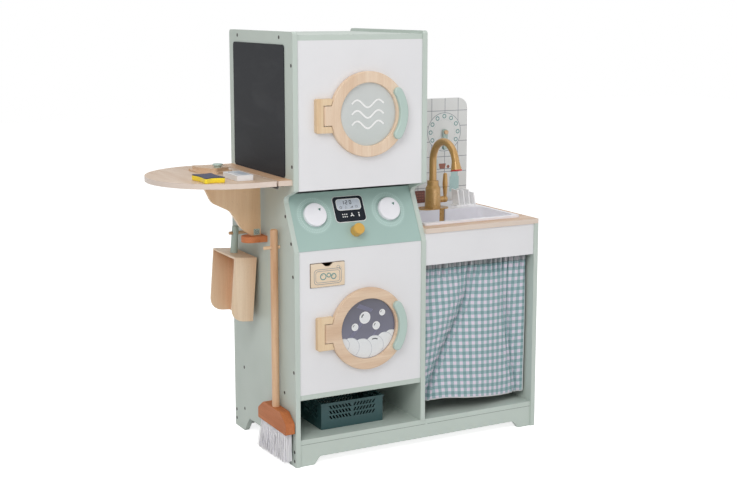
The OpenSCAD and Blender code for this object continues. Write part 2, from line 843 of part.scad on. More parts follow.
// Soap drawer: a front with a thumb notch, a box behind it and the housing that the box runs in
module drawer_front() {
    mid = drawer_x0 + drawer_w / 2;
    low = drawer_z - drawer_h / 2;
    high = drawer_z + drawer_h / 2;
    place() color(plywood) front_board(box_y0 - drawer_t, drawer_t, [[drawer_x0, low, 3],
        [drawer_x0 + drawer_w, low, 3], [drawer_x0 + drawer_w, high, 3], [mid + notch_top, high, 2],
        [mid + notch_base, high - notch_d, 3], [mid - notch_base, high - notch_d, 3],
        [mid - notch_top, high, 2], [drawer_x0, high, 3]]);
}
module drawer_box() {
    place() color(plywood) difference() {
        box([box_x0, box_y0, box_z0], [box_x0 + box_w, box_y0 + drawer_l, box_z0 + box_h]);
        box([box_x0 + drawer_t, box_y0 + drawer_t, box_z0 + drawer_t],
            [box_x0 + box_w - drawer_t, box_y0 + drawer_l - drawer_t, box_z0 + box_h + past]);
    }
}
module drawer_housing() {
    x0 = box_x0 - drawer_play;
    x1 = box_x0 + box_w + drawer_play;
    z0 = box_z0 - drawer_play / 2;
    z1 = z0 + box_h * 0.8;
    y1 = front_back + housing_l;
    place() color(plywood) difference() {
        box([x0 - housing_t, front_back, z0 - housing_t], [x1 + housing_t, y1, z1]);
        box([x0, front_back - past, z0], [x1, y1 - housing_t, z1 + past]);
    }
}

// Controls
module dial() {
    clip_t = 2.5;
    lift = 0.4;
    translate([0, 0, lift]) rotate_extrude() polygon(rounded([[0, 0, 0], [dial_r, 0, 0.5],
        [dial_r - 0.5, dial_t, 1.5], [0, dial_t, 0]]));
    translate([0, 0, -board_t - rest_gap - clip_t]) cylinder(h = board_t + clip_t + lift + 1, r = spindle_r);
    translate([0, 0, -board_t - rest_gap - clip_t]) cylinder(h = clip_t, r = spindle_r + 3);
}
module left_dial() {
    place() color(white) on_slope(face_mid - dial_gap / 2, dial_s) dial();
}
module right_dial() {
    place() color(white) on_slope(face_mid + dial_gap / 2, dial_s) dial();
}
// A button that slides through the panel, with a flange behind it
module start_button() {
    flange_t = 3;
    flange_r = button_r + 3;
    length = board_t + rest_gap + button_h;
    place() color(mustard) on_slope(face_mid, button_s) {
        translate([0, 0, -board_t - rest_gap]) rotate_extrude() polygon(rounded([[0, 0, 0], [button_r, 0, 0],
            [button_r, length, 2], [0, length, 0]]));
        translate([0, 0, -board_t - rest_gap - flange_t]) cylinder(h = flange_t, r = flange_r);
    }
}
module display_plate() {
    place() color(slate) on_slope(face_mid - 5, display_s) linear_extrude(display_t)
        polygon(rounded(frame(-display_w / 2, -display_h / 2, display_w / 2, display_h / 2, 8)));
}

// Sink: a rim that rests on the worktop, a basin and a deck behind it
module sink_tub() {
    place() color(white) difference() {
        union() {
            flat_board(worktop_z, rim_t, frame(tub_x0, sink_front, tub_x0 + sink_w, sink_d - tub_back, 8));
            basin_shape(basin_low - tub_t, worktop_z + past, tub_t);
        }
        basin_shape(basin_low, tub_top + past, 0);
    }
}
// Fins that lean towards the tap, the last one lower than the rest
module dish_rack() {
    base_t = 3;
    fin_t = 4;
    lean = 6;
    y0 = rack_y;
    place() color(white) {
        box([rack_x, y0, tub_top], [rack_x + rack_pitch * (rack_fins - 1) + fin_t + lean, y0 + rack_l,
            tub_top + base_t]);
        for (i = [0 : rack_fins - 1]) {
            h = i == rack_fins - 1 ? rack_h - 9 : rack_h;
            x = rack_x + lean + i * rack_pitch;
            front_board(y0, rack_l, [[x, tub_top + base_t - 1, 0], [x + fin_t, tub_top + base_t - 1, 0],
                [x + fin_t - lean, tub_top + h, 1.5], [x - lean, tub_top + h, 1.5]]);
        }
    }
}

// Tap: a plate, a body and the uptake, one moulding; the spout turns in the body, the lever on its boss
module tap_at(z) {
    translate([bay_mid, tap_y, z]) children();
}
module tap_body() {
    uptake_half = channel_w / 2 - 2;
    place() color(gold) {
        difference() {
            tap_at(tub_top) {
                for (side = [-1, 1]) translate([side * plate_run, 0, 0]) cylinder(h = plate_t, r = plate_half);
                translate([-plate_run, -plate_half, 0]) cube([2 * plate_run, 2 * plate_half, plate_t]);
                rotate_extrude() polygon(rounded([[0, 0, 0], [tap_r, 0, 0], [tap_r - 2, tap_h - 20, 3],
                    [tap_r - 6, tap_h - 12, 2], [tap_r - 6, tap_h, 2], [0, tap_h, 0]]));
                translate([0, 0, lever_z - tub_top]) rotate([0, 90, 0]) cylinder(h = lever_x - 5, r = 8);
            }
            tap_at(tub_top + tap_h - spout_seat) cylinder(h = spout_seat + past, r = spout_r + run_gap);
            tap_at(lever_z) translate([lever_x - 15, 0, 0]) rotate([0, 90, 0])
                cylinder(h = 15, r = spigot_r + run_gap);
        }
        box([uptake_x - uptake_half, tap_y - plate_half + 1, basin_low + 4],
            [uptake_x + uptake_half, tap_y - plate_half + 9, tub_top + plate_t / 2]);
    }
}
// Moves from the tap's axis to the end of the spout's bend, with Z along the nozzle
module at_bend_end() {
    translate([0, -bend_r + bend_r * cos(bend_angle), bend_r * sin(bend_angle)])
        rotate([bend_angle, 0, 0]) children();
}
module tap_spout() {
    seat_z = tub_top + tap_h - spout_seat + rest_gap;
    place() color(gold) {
        tap_at(seat_z) cylinder(h = bend_z - seat_z, r = spout_r);
        tap_at(bend_z) {
            translate([0, -bend_r, 0]) rotate([90, 0, 90]) rotate_extrude(angle = bend_angle)
                translate([bend_r, 0]) circle(r = spout_r);
            at_bend_end() difference() {
                union() {
                    translate([0, 0, -2]) cylinder(h = 4, r = spout_r + 0.4);
                    cylinder(h = nozzle_l, r1 = spout_r, r2 = nozzle_r);
                }
                translate([0, 0, nozzle_l - 14]) cylinder(h = 14 + past, r = spout_r - 2);
            }
        }
    }
}
module nozzle_ring() {
    place() color([0.75, 0.12, 0.12]) tap_at(bend_z) at_bend_end() translate([0, 0, nozzle_l]) difference() {
        cylinder(h = 3, r = nozzle_r + 0.5);
        translate([0, 0, -past]) cylinder(h = 3 + 2 * past, r = spout_r - 2);
    }
}
module tap_lever() {
    hub_r = 8.5;
    hub_t = 11;
    blade = [[0, 0, 0], [4, 0, 0], [7, lever_l * 0.55, 20], [5, lever_l, 4], [0, lever_l, 0]];
    place() color(gold) tap_at(lever_z) {
        translate([lever_x - 14, 0, 0]) rotate([0, 90, 0]) cylinder(h = 15, r = spigot_r);
        translate([lever_x - 5 + rest_gap, 0, 0]) rotate([0, 90, 0]) rotate_extrude()
            polygon(rounded([[0, 0, 0], [hub_r, 0, 1], [hub_r, hub_t, 4], [0, hub_t, 0]]));
        translate([lever_x + 1, 0, hub_r * 0.5]) rotate_extrude() polygon(rounded(blade));
    }
}

// Curtain: a pocket round the rod, small gathers that fade below it, and two broad valleys that deepen
// towards the hem. The left valley drifts further left on its way down.
module curtain_rod() {
    place() color(white) translate([bay_left, rod_y, rod_z]) rotate([0, 90, 0])
        cylinder(h = bay_right - bay_left, r = rod_r);
}
function valley_at(w) = 0.43 - 0.3 * w;
function fold_width(w) = 0.39 + 0.35 * w;
function fold_y(u, w) = rod_y + gather_d * pow(1 - w, 2) * sin(360 * gathers * u)
    + fold_d * pow(w, 0.7) * cos(360 * (u - valley_at(w)) / fold_width(w));
function sheet_point(i, j, side) =
    let (
        u = i / fold_columns,
        w = j / fold_rows,
        hem = hem_z - hem_dip * pow(sin(180 * u), 2) * (0.4 + 0.6 * u)
    )
    [curtain_x0 + (curtain_x1 - curtain_x0) * u, fold_y(u, w) + side * cloth_t / 2,
        rod_z - rod_r - (rod_z - rod_r - hem) * w];
module curtain_sheet() {
    wide = fold_columns + 1;
    layer = wide * (fold_rows + 1);
    points = [for (side = [-1, 1], j = [0 : fold_rows], i = [0 : fold_columns]) sheet_point(i, j, side)];
    // Four corners of a cell become two triangles; the back layer and the rim turn the other way
    faces = concat(
        [for (j = [0 : fold_rows - 1], i = [0 : fold_columns - 1]) let (a = j * wide + i)
            each [[a, a + 1, a + wide], [a + 1, a + wide + 1, a + wide]]],
        [for (j = [0 : fold_rows - 1], i = [0 : fold_columns - 1]) let (a = layer + j * wide + i)
            each [[a, a + wide, a + 1], [a + 1, a + wide, a + wide + 1]]],
        [for (i = [0 : fold_columns - 1]) each [[i, i + layer, i + 1], [i + 1, i + layer, i + 1 + layer]]],
        [for (i = [0 : fold_columns - 1]) let (a = fold_rows * wide + i)
            each [[a, a + 1, a + layer], [a + 1, a + 1 + layer, a + layer]]],
        [for (j = [0 : fold_rows - 1]) let (a = j * wide)
            each [[a, a + wide, a + layer], [a + wide, a + wide + layer, a + layer]]],
        [for (j = [0 : fold_rows - 1]) let (a = j * wide + fold_columns)
            each [[a, a + layer, a + wide], [a + wide, a + layer, a + wide + layer]]]);
    polyhedron(points, faces);
}
module curtain() {
    place() color([0.60, 0.72, 0.73]) difference() {
        union() {
            curtain_sheet();
            translate([curtain_x0, rod_y, rod_z]) rotate([0, 90, 0])
                cylinder(h = curtain_x1 - curtain_x0, r = rod_r + pocket_gap + cloth_t, $fn = 24);
        }
        translate([curtain_x0 - past, rod_y, rod_z]) rotate([0, 90, 0])
            cylinder(h = curtain_x1 - curtain_x0 + 2 * past, r = rod_r + pocket_gap, $fn = 24);
    }
}

// Clock hand, and the pegs that carry the hand and the two cleaning tools
module clock_hand() {
    half = 7.5;
    tip = 4;
    place() color(grip_mint) translate([clock_x, sink_d - hand_off, clock_z]) outward() difference() {
        union() {
            cylinder(h = hand_t, r = half);
            linear_extrude(hand_t) polygon(rounded([[-half, 0, 0], [-tip, -hand_l, 3], [tip, -hand_l, 3],
                [half, 0, 0]]));
        }
        translate([0, 0, -past]) cylinder(h = hand_t + 2 * past, r = clock_pin_r + run_gap);
    }
}
module wooden_pegs() {
    head_t2 = 5;
    place() color(wood) {
        for (peg = peg_places) translate([socket_l, peg[0], peg[1]]) rotate([0, -90, 0])
            rotate_extrude() polygon(rounded([[0, 0, 0], [peg_r, 0, 0], [peg_r, socket_l + peg[2], 2],
                [0, socket_l + peg[2], 0]]));
        translate([clock_x, sink_d + splash_t, clock_z]) outward() {
            reach = splash_t + hand_off + hand_t + rest_gap;
            cylinder(h = reach + 1, r = clock_pin_r);
            translate([0, 0, reach]) cylinder(h = head_t2, r = clock_pin_r + 2.5);
        }
    }
}

// Table: a fixed ledge, a hinged leaf and the bracket that swings out under it
module ledge_board() {
    place() color(wood) difference() {
        flat_board(table_low, board_t, [[-ledge_w, ledge_y0, 1], [0, ledge_y0, 0],
            [0, ledge_y0 + table_l, 0], [-ledge_w, ledge_y0 + table_l, 1]]);
        bracket_at(table_low - past) cylinder(h = past + 8, r = pivot_r + run_gap);
    }
}
module table_leaf() {
    end_x = leaf_end_x + leaf_r;
    place() color(wood) {
        box([min(end_x, leaf_x - 1), ledge_y0, table_low], [leaf_x, ledge_y0 + table_l, table_z]);
        intersection() {
            translate([end_x, leaf_mid_y, table_low]) cylinder(h = board_t, r = leaf_r, $fn = 180);
            box([leaf_end_x - past, ledge_y0 - past, table_low], [leaf_x, ledge_y0 + table_l + past, table_z]);
        }
    }
}
// A hinge of three knuckles under the boards: the outer two are fixed, the middle one moves
module knuckle(y, count, length) {
    translate([hinge_x, y + count * knuckle_l + (knuckle_l - length) / 2, hinge_axis_z]) rotate([-90, 0, 0])
        cylinder(h = length, r = knuckle_r);
}
module hinge_axis(y, r) {
    translate([hinge_x, y, hinge_axis_z]) rotate([-90, 0, 0]) cylinder(h = 3 * knuckle_l, r = r);
}
module table_hinges_fixed() {
    plate_in = hinge_x + leaf_gap / 2 + hinge_plate;
    length = knuckle_l - 0.6;
    place() color(steel) for (y = hinge_ys) {
        difference() {
            for (count = [0, 2]) {
                knuckle(y, count, length);
                box([hinge_x, y + count * knuckle_l + 0.3, table_low - hinge_leaf_t],
                    [plate_in, y + (count + 1) * knuckle_l - 0.3, table_low]);
            }
            translate([0, -past, 0]) hinge_axis(y, hinge_pin_r + press_gap);
            translate([0, past, 0]) hinge_axis(y, hinge_pin_r + press_gap);
        }
        box([-ledge_w + 4, y + 0.3, table_low - hinge_leaf_t],
            [plate_in, y + 3 * knuckle_l - 0.3, table_low]);
        hinge_axis(y, hinge_pin_r);
    }
}
module table_hinges_moving() {
    plate_out = leaf_x - hinge_plate;
    length = knuckle_l - 0.6;
    place() color(steel) for (y = hinge_ys) difference() {
        union() {
            knuckle(y, 1, length);
            box([leaf_x - 4, y + knuckle_l + 0.3, table_low - hinge_leaf_t],
                [hinge_x, y + 2 * knuckle_l - 0.3, table_low]);
            box([plate_out, y + 0.3, table_low - hinge_leaf_t],
                [leaf_x - 4, y + 3 * knuckle_l - 0.3, table_low]);
        }
        hinge_axis(y, hinge_pin_r + run_gap);
    }
}
// The bracket's pivot line, at a given height
module bracket_at(z) {
    translate([-pivot_x, bracket_y, z]) children();
}
module swing_bracket() {
    wide = bracket_reach;
    high = bracket_h;
    outline = [[10, 0, 3], [-wide * 0.11, 0, 8], [-wide * 0.30, high * 0.16, 30],
        [-wide * 0.48, high * 0.45, 25], [-wide * 0.82, high * 0.62, 30], [-wide, high, 1], [10, high, 1]];
    place() color(plywood) difference() {
        bracket_at(bracket_low) translate([0, board_t / 2, 0]) outward() linear_extrude(board_t)
            polygon(rounded(outline));
        bracket_at(bracket_low - past) cylinder(h = nut_z - bracket_low + nut_r + past, r = pivot_r + press_gap);
        bracket_at(bracket_top - 12) cylinder(h = 12 + past, r = pivot_r + press_gap);
        bracket_at(nut_z) translate([0, board_t / 2 + past, 0]) outward()
            cylinder(h = board_t + 2 * past, r = nut_r + press_gap);
    }
}
// A tongue with a round end, fixed to the side panel under the bracket
module pivot_block() {
    place() color(terracotta) difference() {
        union() {
            translate([-block_reach + block_half, bracket_y, block_top - block_t])
                cylinder(h = block_t, r = block_half);
            box([-block_reach + block_half, bracket_y - block_half, block_top - block_t],
                [0, bracket_y + block_half, block_top]);
        }
        bracket_at(block_top - block_t - past) cylinder(h = block_t + 2 * past, r = pivot_r + run_gap);
    }
}
// The bolt through the block, the round nut across the bracket and the pin into the ledge
module pivot_fittings() {
    head_t2 = 3;
    low = block_top - block_t - rest_gap;
    place() color(steel) {
        bracket_at(low - head_t2) cylinder(h = head_t2, r = pivot_r + 3);
        bracket_at(low - 1) cylinder(h = nut_z - low + 1, r = pivot_r);
        difference() {
            bracket_at(nut_z) translate([0, board_t / 2, 0]) outward() cylinder(h = board_t, r = nut_r);
            bracket_at(nut_z - nut_r - past) cylinder(h = nut_r + past, r = pivot_r);
            bracket_at(nut_z) translate([-nut_r, -board_t / 2 - past, -0.7]) cube([2 * nut_r, past + 1.5, 1.4]);
        }
        bracket_at(bracket_top - 12) cylinder(h = 12 + 7, r = pivot_r);
    }
}

// Broom: it hangs on its peg by a hole near the top of the stick
module broom_at(z) {
    translate([broom_x, broom_y, z]) children();
}
module tool_hole(peg) {
    translate([past, peg[0], peg[1] - hole_drop]) rotate([0, -90, 0]) cylinder(h = peg[2] + 40, r = tool_hole_r);
}
module broom_stick() {
    low = head_low + head_h - stick_seat;
    place() color([0.76, 0.57, 0.42]) difference() {
        broom_at(low) rotate_extrude() polygon(rounded([[0, 0, 0], [stick_r, 0, 0],
            [stick_r, broom_top - low, 5], [0, broom_top - low, 0]]));
        tool_hole(peg_places[0]);
    }
}
module broom_head() {
    half = head_l / 2;
    low = head_low;
    place() color(terracotta) difference() {
        side_board(broom_x - head_t / 2, head_t, [[broom_y - half, low, 2], [broom_y + half, low, 2],
            [broom_y + half, low + head_h * head_end, 8], [broom_y + half - 32, low + head_h, 14],
            [broom_y - half + 32, low + head_h, 14], [broom_y - half, low + head_h * head_end, 8]]);
        broom_at(low + head_h - stick_seat) cylinder(h = stick_seat + past, r = stick_r + press_gap);
    }
}
// One three-sided strand from the slice down to its tip, splayed outward a little
module strand(x, y, dx, dy) {
    r = 0.75;
    top = head_low - 1.5;
    low = head_low - bristle_slice - bristle_l;
    corners = [for (k = [0 : 2]) r * [cos(120 * k), sin(120 * k)]];
    polyhedron(
        [for (c = corners) [x + c.x, y + c.y, top], for (c = corners) [x + dx + c.x, y + dy + c.y, low]],
        [[2, 1, 0], [3, 4, 5], [0, 4, 3], [0, 1, 4], [1, 5, 4], [1, 2, 5], [2, 3, 5], [2, 0, 3]]);
}
module broom_bristles() {
    half_x = head_t / 2 - 2.5;
    half_y = head_l / 2 - 10;
    splay = 1.08;
    place() color([0.88, 0.88, 0.92]) broom_at(0) {
        box([-half_x, -half_y, head_low - bristle_slice], [half_x, half_y, head_low]);
        for (i = [0 : bristle_rows - 1], j = [0 : bristle_count - 1]) {
            x = (half_x - 1.5) * (2 * i / (bristle_rows - 1) - 1);
            y = (half_y - 1.5) * (2 * (j + 0.25 * (i % 2)) / (bristle_count - 0.75) - 1);
            strand(x, y, x * (splay - 1), y * (splay - 1));
        }
    }
}

// Dustpan: it hangs with its back wall on top and leans out at its lip
module lean_out() {
    translate([handle_x, 0, peg_z]) rotate([0, pan_lean, 0]) translate([-handle_x, 0, -peg_z]) children();
}
module dustpan() {
    x0 = pan_x1 - pan_d;
    y0 = pan_y - pan_w / 2;
    y1 = pan_y + pan_w / 2;
    low = pan_top - pan_l;
    wall = [[pan_x1, low, 0], [pan_x1, pan_top, 0], [x0, pan_top, 2], [x0, low, pan_corner]];
    place() color(plywood) lean_out() {
        for (y = [y0, y1 - pan_t]) front_board(y, pan_t, wall);
        box([pan_x1 - pan_t, y0 + pan_t / 2, low], [pan_x1, y1 - pan_t / 2, pan_top]);
        box([x0, y0 + pan_t / 2, pan_top - pan_t], [pan_x1, y1 - pan_t / 2, pan_top]);
    }
}
module dustpan_handle() {
    rise = peg_z + handle_up - pan_top;
    place() color(grip_mint) difference() {
        lean_out() translate([handle_x, pan_y, pan_top]) rotate_extrude() polygon(rounded([[0, 0, 0],
            [handle_r, 0, 0], [handle_r - 1, rise, 4], [0, rise, 0]]));
        tool_hole(peg_places[1]);
    }
}

// Crate: four slotted walls between corner posts, with a solid rim and a floor
module crate_wall(length, count) {
    band = 7.5;
    half = length / 2 - slot_margin;
    pitch = (half - 6) / count;
    difference() {
        square([length, crate_h]);
        for (side = [-1, 1], row = [0 : slot_rows - 1], k = [0 : count - 1]) {
            x = length / 2 + side * (3 + pitch * (k + 0.5));
            z = crate_h - band - row * slot_pitch - slot_h;
            shift = side * slot_lean * slot_h / 2;
            polygon([[x - slot_w / 2 - shift, z], [x + slot_w / 2 - shift, z],
                [x + slot_w / 2 + shift, z + slot_h], [x - slot_w / 2 + shift, z + slot_h]]);
        }
    }
}
module crate() {
    rim = 2;
    side_count = floor(slot_count * 0.6);
    place() color([0.19, 0.33, 0.34]) translate([crate_x0, crate_y, crate_z0]) {
        for (y = [crate_t, crate_l]) translate([0, y, 0]) rotate([90, 0, 0]) linear_extrude(crate_t)
            crate_wall(crate_w, slot_count);
        for (x = [0, crate_w - crate_t]) translate([x, 0, 0]) rotate([90, 0, 90]) linear_extrude(crate_t)
            crate_wall(crate_l, side_count);
        cube([crate_w, crate_l, crate_t]);
        for (x = [0, crate_w - crate_post], y = [0, crate_l - crate_post]) translate([x, y, 0])
            cube([crate_post, crate_post, crate_h]);
        translate([0, 0, crate_h - 4]) linear_extrude(4) difference() {
            translate([-rim, -rim]) square([crate_w + 2 * rim, crate_l + 2 * rim]);
            translate([crate_t, crate_t]) square([crate_w - 2 * crate_t, crate_l - 2 * crate_t]);
        }
    }
}

// Things that lie on the table's leaf: distances of their middles from the hinge edge, and along it
item_z = table_z + rest_gap;
iron_in = 68.8;
iron_side = 42;
iron_turn = 31;
sole_t = 4;
body_share = 0.84;
sponge_in = 134.6;
sponge_side = 70;
sponge_turn = 2;
sponge_wave = 0.14;
sponge_round = 0.45;
packet_in = 58.6;
packet_side = 82;
module on_table(x, y, turn) {
    translate([x, y, item_z]) rotate(turn) children();
}
module iron_at() {
    on_table(leaf_x - iron_in, leaf_mid_y + iron_side, iron_turn) children();
}
function iron_outline(share) =
    let (half = share * iron_w / 2, back = -0.35 * share * iron_l, side = 0.2 * share * iron_l)
    rounded([[-half, back, 8], [half, back, 8], [0.9 * half, side, 50], [0, 0.65 * share * iron_l, 6],
        [-0.9 * half, side, 50]]);
module iron_sole() {
    place() color(plywood) iron_at() {
        linear_extrude(sole_t) polygon(iron_outline(1));
        linear_extrude(iron_t) polygon(iron_outline(body_share));
    }
}
module iron_knob() {
    high = 9;
    knob_back = -0.16 * iron_l;
    place() color(grip_mint) iron_at() translate([0, knob_back, iron_t]) rotate_extrude() polygon(rounded([
        [0, 0, 0], [knob_r * 0.7, 0, 0], [knob_r * 0.7, 3, 0.5], [knob_r, 5, 1], [knob_r, high, 2.5],
        [0, high, 0]]));
}
// A sponge with drawn-in sides, a scouring layer over foam
module sponge() {
    place() color([0.95, 0.85, 0.25]) on_table(leaf_x - sponge_in, ledge_y0 + sponge_side, sponge_turn) {
        linear_extrude(foam_t + scour_t) polygon([for (k = [0 : 95]) let (
            angle = 3.75 * k,
            wave = 0.99 * (1 - sponge_wave * cos(4 * angle)),
            corner_x = sign(cos(angle)) * pow(abs(cos(angle)), sponge_round),
            corner_y = sign(sin(angle)) * pow(abs(sin(angle)), sponge_round))
            wave * [corner_x * sponge_w / 2, corner_y * sponge_l / 2]]);
    }
}
module soap_packet() {
    place() color(white) on_table(leaf_x - packet_in, ledge_y0 + packet_side, 0) linear_extrude(packet_t)
        polygon(rounded(frame(-packet_w / 2, -packet_l / 2, packet_w / 2, packet_l / 2, 3)));
}

left_side_panel();
divider_panel();
right_side_panel();
top_board();
dryer_floor_board();
dryer_front();
control_panel();
washer_front();
shelf_board();
floor_board();
front_plinth();
back_plinths();
back_panels();
backsplash();
worktop();
sink_apron();
blackboard();
panel_screws();
door_hinge_blocks();
door_hinge_pins();
dryer_door_ring();
dryer_window();
dryer_door_grip();
washer_door_ring();
washer_window();
washer_door_grip();
drawer_front();
drawer_box();
drawer_housing();
left_dial();
right_dial();
start_button();
display_plate();
sink_tub();
dish_rack();
tap_body();
tap_spout();
nozzle_ring();
tap_lever();
curtain_rod();
curtain();
clock_hand();
wooden_pegs();
ledge_board();
table_leaf();
table_hinges_fixed();
table_hinges_moving();
swing_bracket();
pivot_block();
pivot_fittings();
dustpan();
dustpan_handle();
broom_stick();
broom_head();
broom_bristles();
crate();
iron_sole();
iron_knob();
sponge();
soap_packet();
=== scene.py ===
# %% [markdown]
# # A toy laundry centre
# The real thing is a wooden play tower: painted boards, lacquered beech, a little moulded plastic and a
# gingham curtain. Its hard parts come from the CAD model as they are. This script gives them finishes,
# replaces the soft parts with real cloth, bristles and foam, prints the small marks, and lights it all.

# %% Load the frame
import math

import bmesh
import bpy
from mathutils import Matrix, Vector


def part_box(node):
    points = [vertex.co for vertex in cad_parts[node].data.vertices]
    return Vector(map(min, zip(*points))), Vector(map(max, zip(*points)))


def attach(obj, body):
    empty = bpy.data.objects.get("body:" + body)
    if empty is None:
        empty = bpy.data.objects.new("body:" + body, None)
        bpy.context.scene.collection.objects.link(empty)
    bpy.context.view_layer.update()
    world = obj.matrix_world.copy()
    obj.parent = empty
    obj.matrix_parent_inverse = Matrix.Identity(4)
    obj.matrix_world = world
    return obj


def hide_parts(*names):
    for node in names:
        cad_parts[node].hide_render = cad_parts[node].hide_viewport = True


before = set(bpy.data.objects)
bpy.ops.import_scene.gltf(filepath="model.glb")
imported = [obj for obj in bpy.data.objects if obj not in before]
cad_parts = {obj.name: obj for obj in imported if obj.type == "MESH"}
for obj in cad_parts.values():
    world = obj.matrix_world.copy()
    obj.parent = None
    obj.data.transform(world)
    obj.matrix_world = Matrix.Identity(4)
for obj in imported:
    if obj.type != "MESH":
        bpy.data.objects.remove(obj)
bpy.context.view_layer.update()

# %% [markdown]
# ## One ruler for everything
# The CAD was drawn in millimetres from the tower's front left foot. `at` turns such a measure into
# Blender's metres, so every piece can be placed by the numbers that a maker would read off a drawing.

# %% The ruler
MM = 0.001
FRONT_LEFT_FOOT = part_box("left_side_panel")[0]


def at(x, y, z):
    return FRONT_LEFT_FOOT + Vector((x, y, z)) * MM


def plane(origin, across=(1, 0, 0), up=(0, 0, 1)):
    """A drawing sheet in space: its first two axes are across and up, its third points out of it."""
    across, up = Vector(across).normalized(), Vector(up).normalized()
    out = across.cross(up)
    sheet = Matrix.Identity(4)
    for row in range(3):
        sheet[row][0], sheet[row][1], sheet[row][2] = across[row] * MM, up[row] * MM, out[row] * MM
        sheet[row][3] = origin[row]
    return sheet


print("front left foot at", [round(v, 4) for v in FRONT_LEFT_FOOT])

# %% [markdown]
# ## The camera
# The photograph was taken from the left and a little above, with upright lines kept nearly upright, as a
# shifted lens does. A large shift would push the toy out of the frame from every other side, so this
# camera tilts down instead and keeps only a trace of shift: its lens points straight ahead at row 215.

# %% The camera
IMAGE_WIDTH, IMAGE_HEIGHT = 737, 504
FOCAL_PIXELS = 1290.8
AXIS_ROW = 215
YAW, PITCH = math.radians(28.015), math.radians(9.259)
SENSOR = 36
CAMERA_PLACE = (-1192.5, -2596.5, 1059.2)

camera_data = bpy.data.cameras.new("photo_camera")
camera_data.sensor_width = SENSOR
camera_data.lens = FOCAL_PIXELS / IMAGE_WIDTH * SENSOR
camera_data.shift_y = -(IMAGE_HEIGHT / 2 - AXIS_ROW) / IMAGE_WIDTH
camera = bpy.data.objects.new("photo_camera", camera_data)
bpy.context.scene.collection.objects.link(camera)
look = Vector((math.sin(YAW) * math.cos(PITCH), math.cos(YAW) * math.cos(PITCH), -math.sin(PITCH)))
camera.location = at(*CAMERA_PLACE)
camera.rotation_euler = look.to_track_quat("-Z", "Y").to_euler()
bpy.context.scene.camera = camera
print("lens", round(camera_data.lens, 2), "mm, shift", round(camera_data.shift_y, 4))

# %% [markdown]
# ## Building shaders by hand
# A material in Blender is a graph. These helpers add one node at a time, so that each finish below reads
# as a short recipe: where on the board am I, which colour is the wood there, how high is the surface.


# %% Shader helpers
def srgb(red, green, blue):
    """A colour as a picture shows it, turned into the linear light that shaders count in."""
    def linear(v):
        v /= 255
        return v / 12.92 if v <= 0.04045 else ((v + 0.055) / 1.055) ** 2.4
    return linear(red), linear(green), linear(blue), 1.0


def times(colour, factor):
    return tuple(min(1.0, v * factor) for v in colour[:3]) + (1.0,)


def step(tree, kind, inputs=None, **settings):
    """Adds one node of any kind. Each input is given a value, or a socket to link from."""
    node = tree.nodes.new(kind)
    for key, value in settings.items():
        setattr(node, key, value)
    for key, value in (inputs or {}).items():
        if isinstance(value, bpy.types.NodeSocket):
            tree.links.new(value, node.inputs[key])
        else:
            node.inputs[key].default_value = value
    return node


def add(tree, kind, inputs=None, **settings):
    return step(tree, "ShaderNode" + kind, inputs, **settings)


def start(name):
    material = bpy.data.materials.new(name)
    material.use_nodes = True
    material.node_tree.nodes.clear()
    return material, material.node_tree


def math_of(tree, operation, *values, clamp=False):
    return add(tree, "Math", dict(enumerate(values)), operation=operation, use_clamp=clamp).outputs[0]


def mix(tree, factor, first, second, way="MIX"):
    return add(tree, "Mix", {0: factor, 6: first, 7: second}, data_type="RGBA", blend_type=way).outputs[2]


print("node helpers ready")

# %% [markdown]
# The next helpers say where a point is, which way it faces and how open it lies, and draw noise there.
# Every pattern is laid out in the object's own coordinates, so it stays put when a part moves.


# %% Places and patterns
def here(tree):
    return add(tree, "TexCoord").outputs["Object"]


def stretched(tree, vector, scale=(1, 1, 1), turn=(0, 0, 0)):
    return add(tree, "Mapping", {"Vector": vector, "Scale": scale, "Rotation": turn}).outputs[0]


def noise(tree, vector, scale, detail=3.0, roughness=0.5, distortion=0.0):
    inputs = {"Vector": vector, "Scale": scale, "Detail": detail, "Roughness": roughness,
              "Distortion": distortion}
    return add(tree, "TexNoise", inputs).outputs[0]


def ramp(tree, value, stops):
    """Turns a value into colours; a stop may also be a plain grey number."""
    node = add(tree, "ValToRGB", {0: value})
    band = node.color_ramp
    while len(band.elements) < len(stops):
        band.elements.new(0.5)
    for element, (place, colour) in zip(band.elements, stops):
        element.position = place
        element.color = colour if hasattr(colour, "__len__") else (colour, colour, colour, 1)
    return node.outputs[0]


def remap(tree, value, low, high, at_low, at_high):
    inputs = {0: value, 1: low, 2: high, 3: at_low, 4: at_high}
    return add(tree, "MapRange", inputs).outputs[0]


def axis_of(tree, vector, axis):
    return add(tree, "SeparateXYZ", {0: vector}).outputs[axis]


def facing(tree):
    return add(tree, "NewGeometry").outputs["Normal"]


def open_air(tree, distance):
    """1 on open surfaces, and less in corners and folds."""
    return add(tree, "AmbientOcclusion", {"Distance": distance}, samples=6).outputs["AO"]


print("place and pattern helpers ready")

# %% [markdown]
# Every hard finish ends the same way. Real edges are never razor sharp, so the Bevel node rounds them in
# shading. Where that rounded normal leaves the flat one there is an edge, and there the colour is lifted
# paler: partly wear, and partly a painted highlight along the rounded edge.

# %% The end of a recipe
WORN_AND_LIT_EDGE_TONE = (0.95, 0.93, 0.9, 1)
WORN_AND_LIT_EDGE_GAIN = 6


def bump(tree, height, depth, strength=1.0, **more):
    inputs = {"Height": height, "Distance": depth, "Strength": strength, **more}
    return add(tree, "Bump", inputs).outputs[0]


def principled(tree, inputs):
    add(tree, "OutputMaterial", {"Surface": add(tree, "BsdfPrincipled", inputs).outputs[0]})


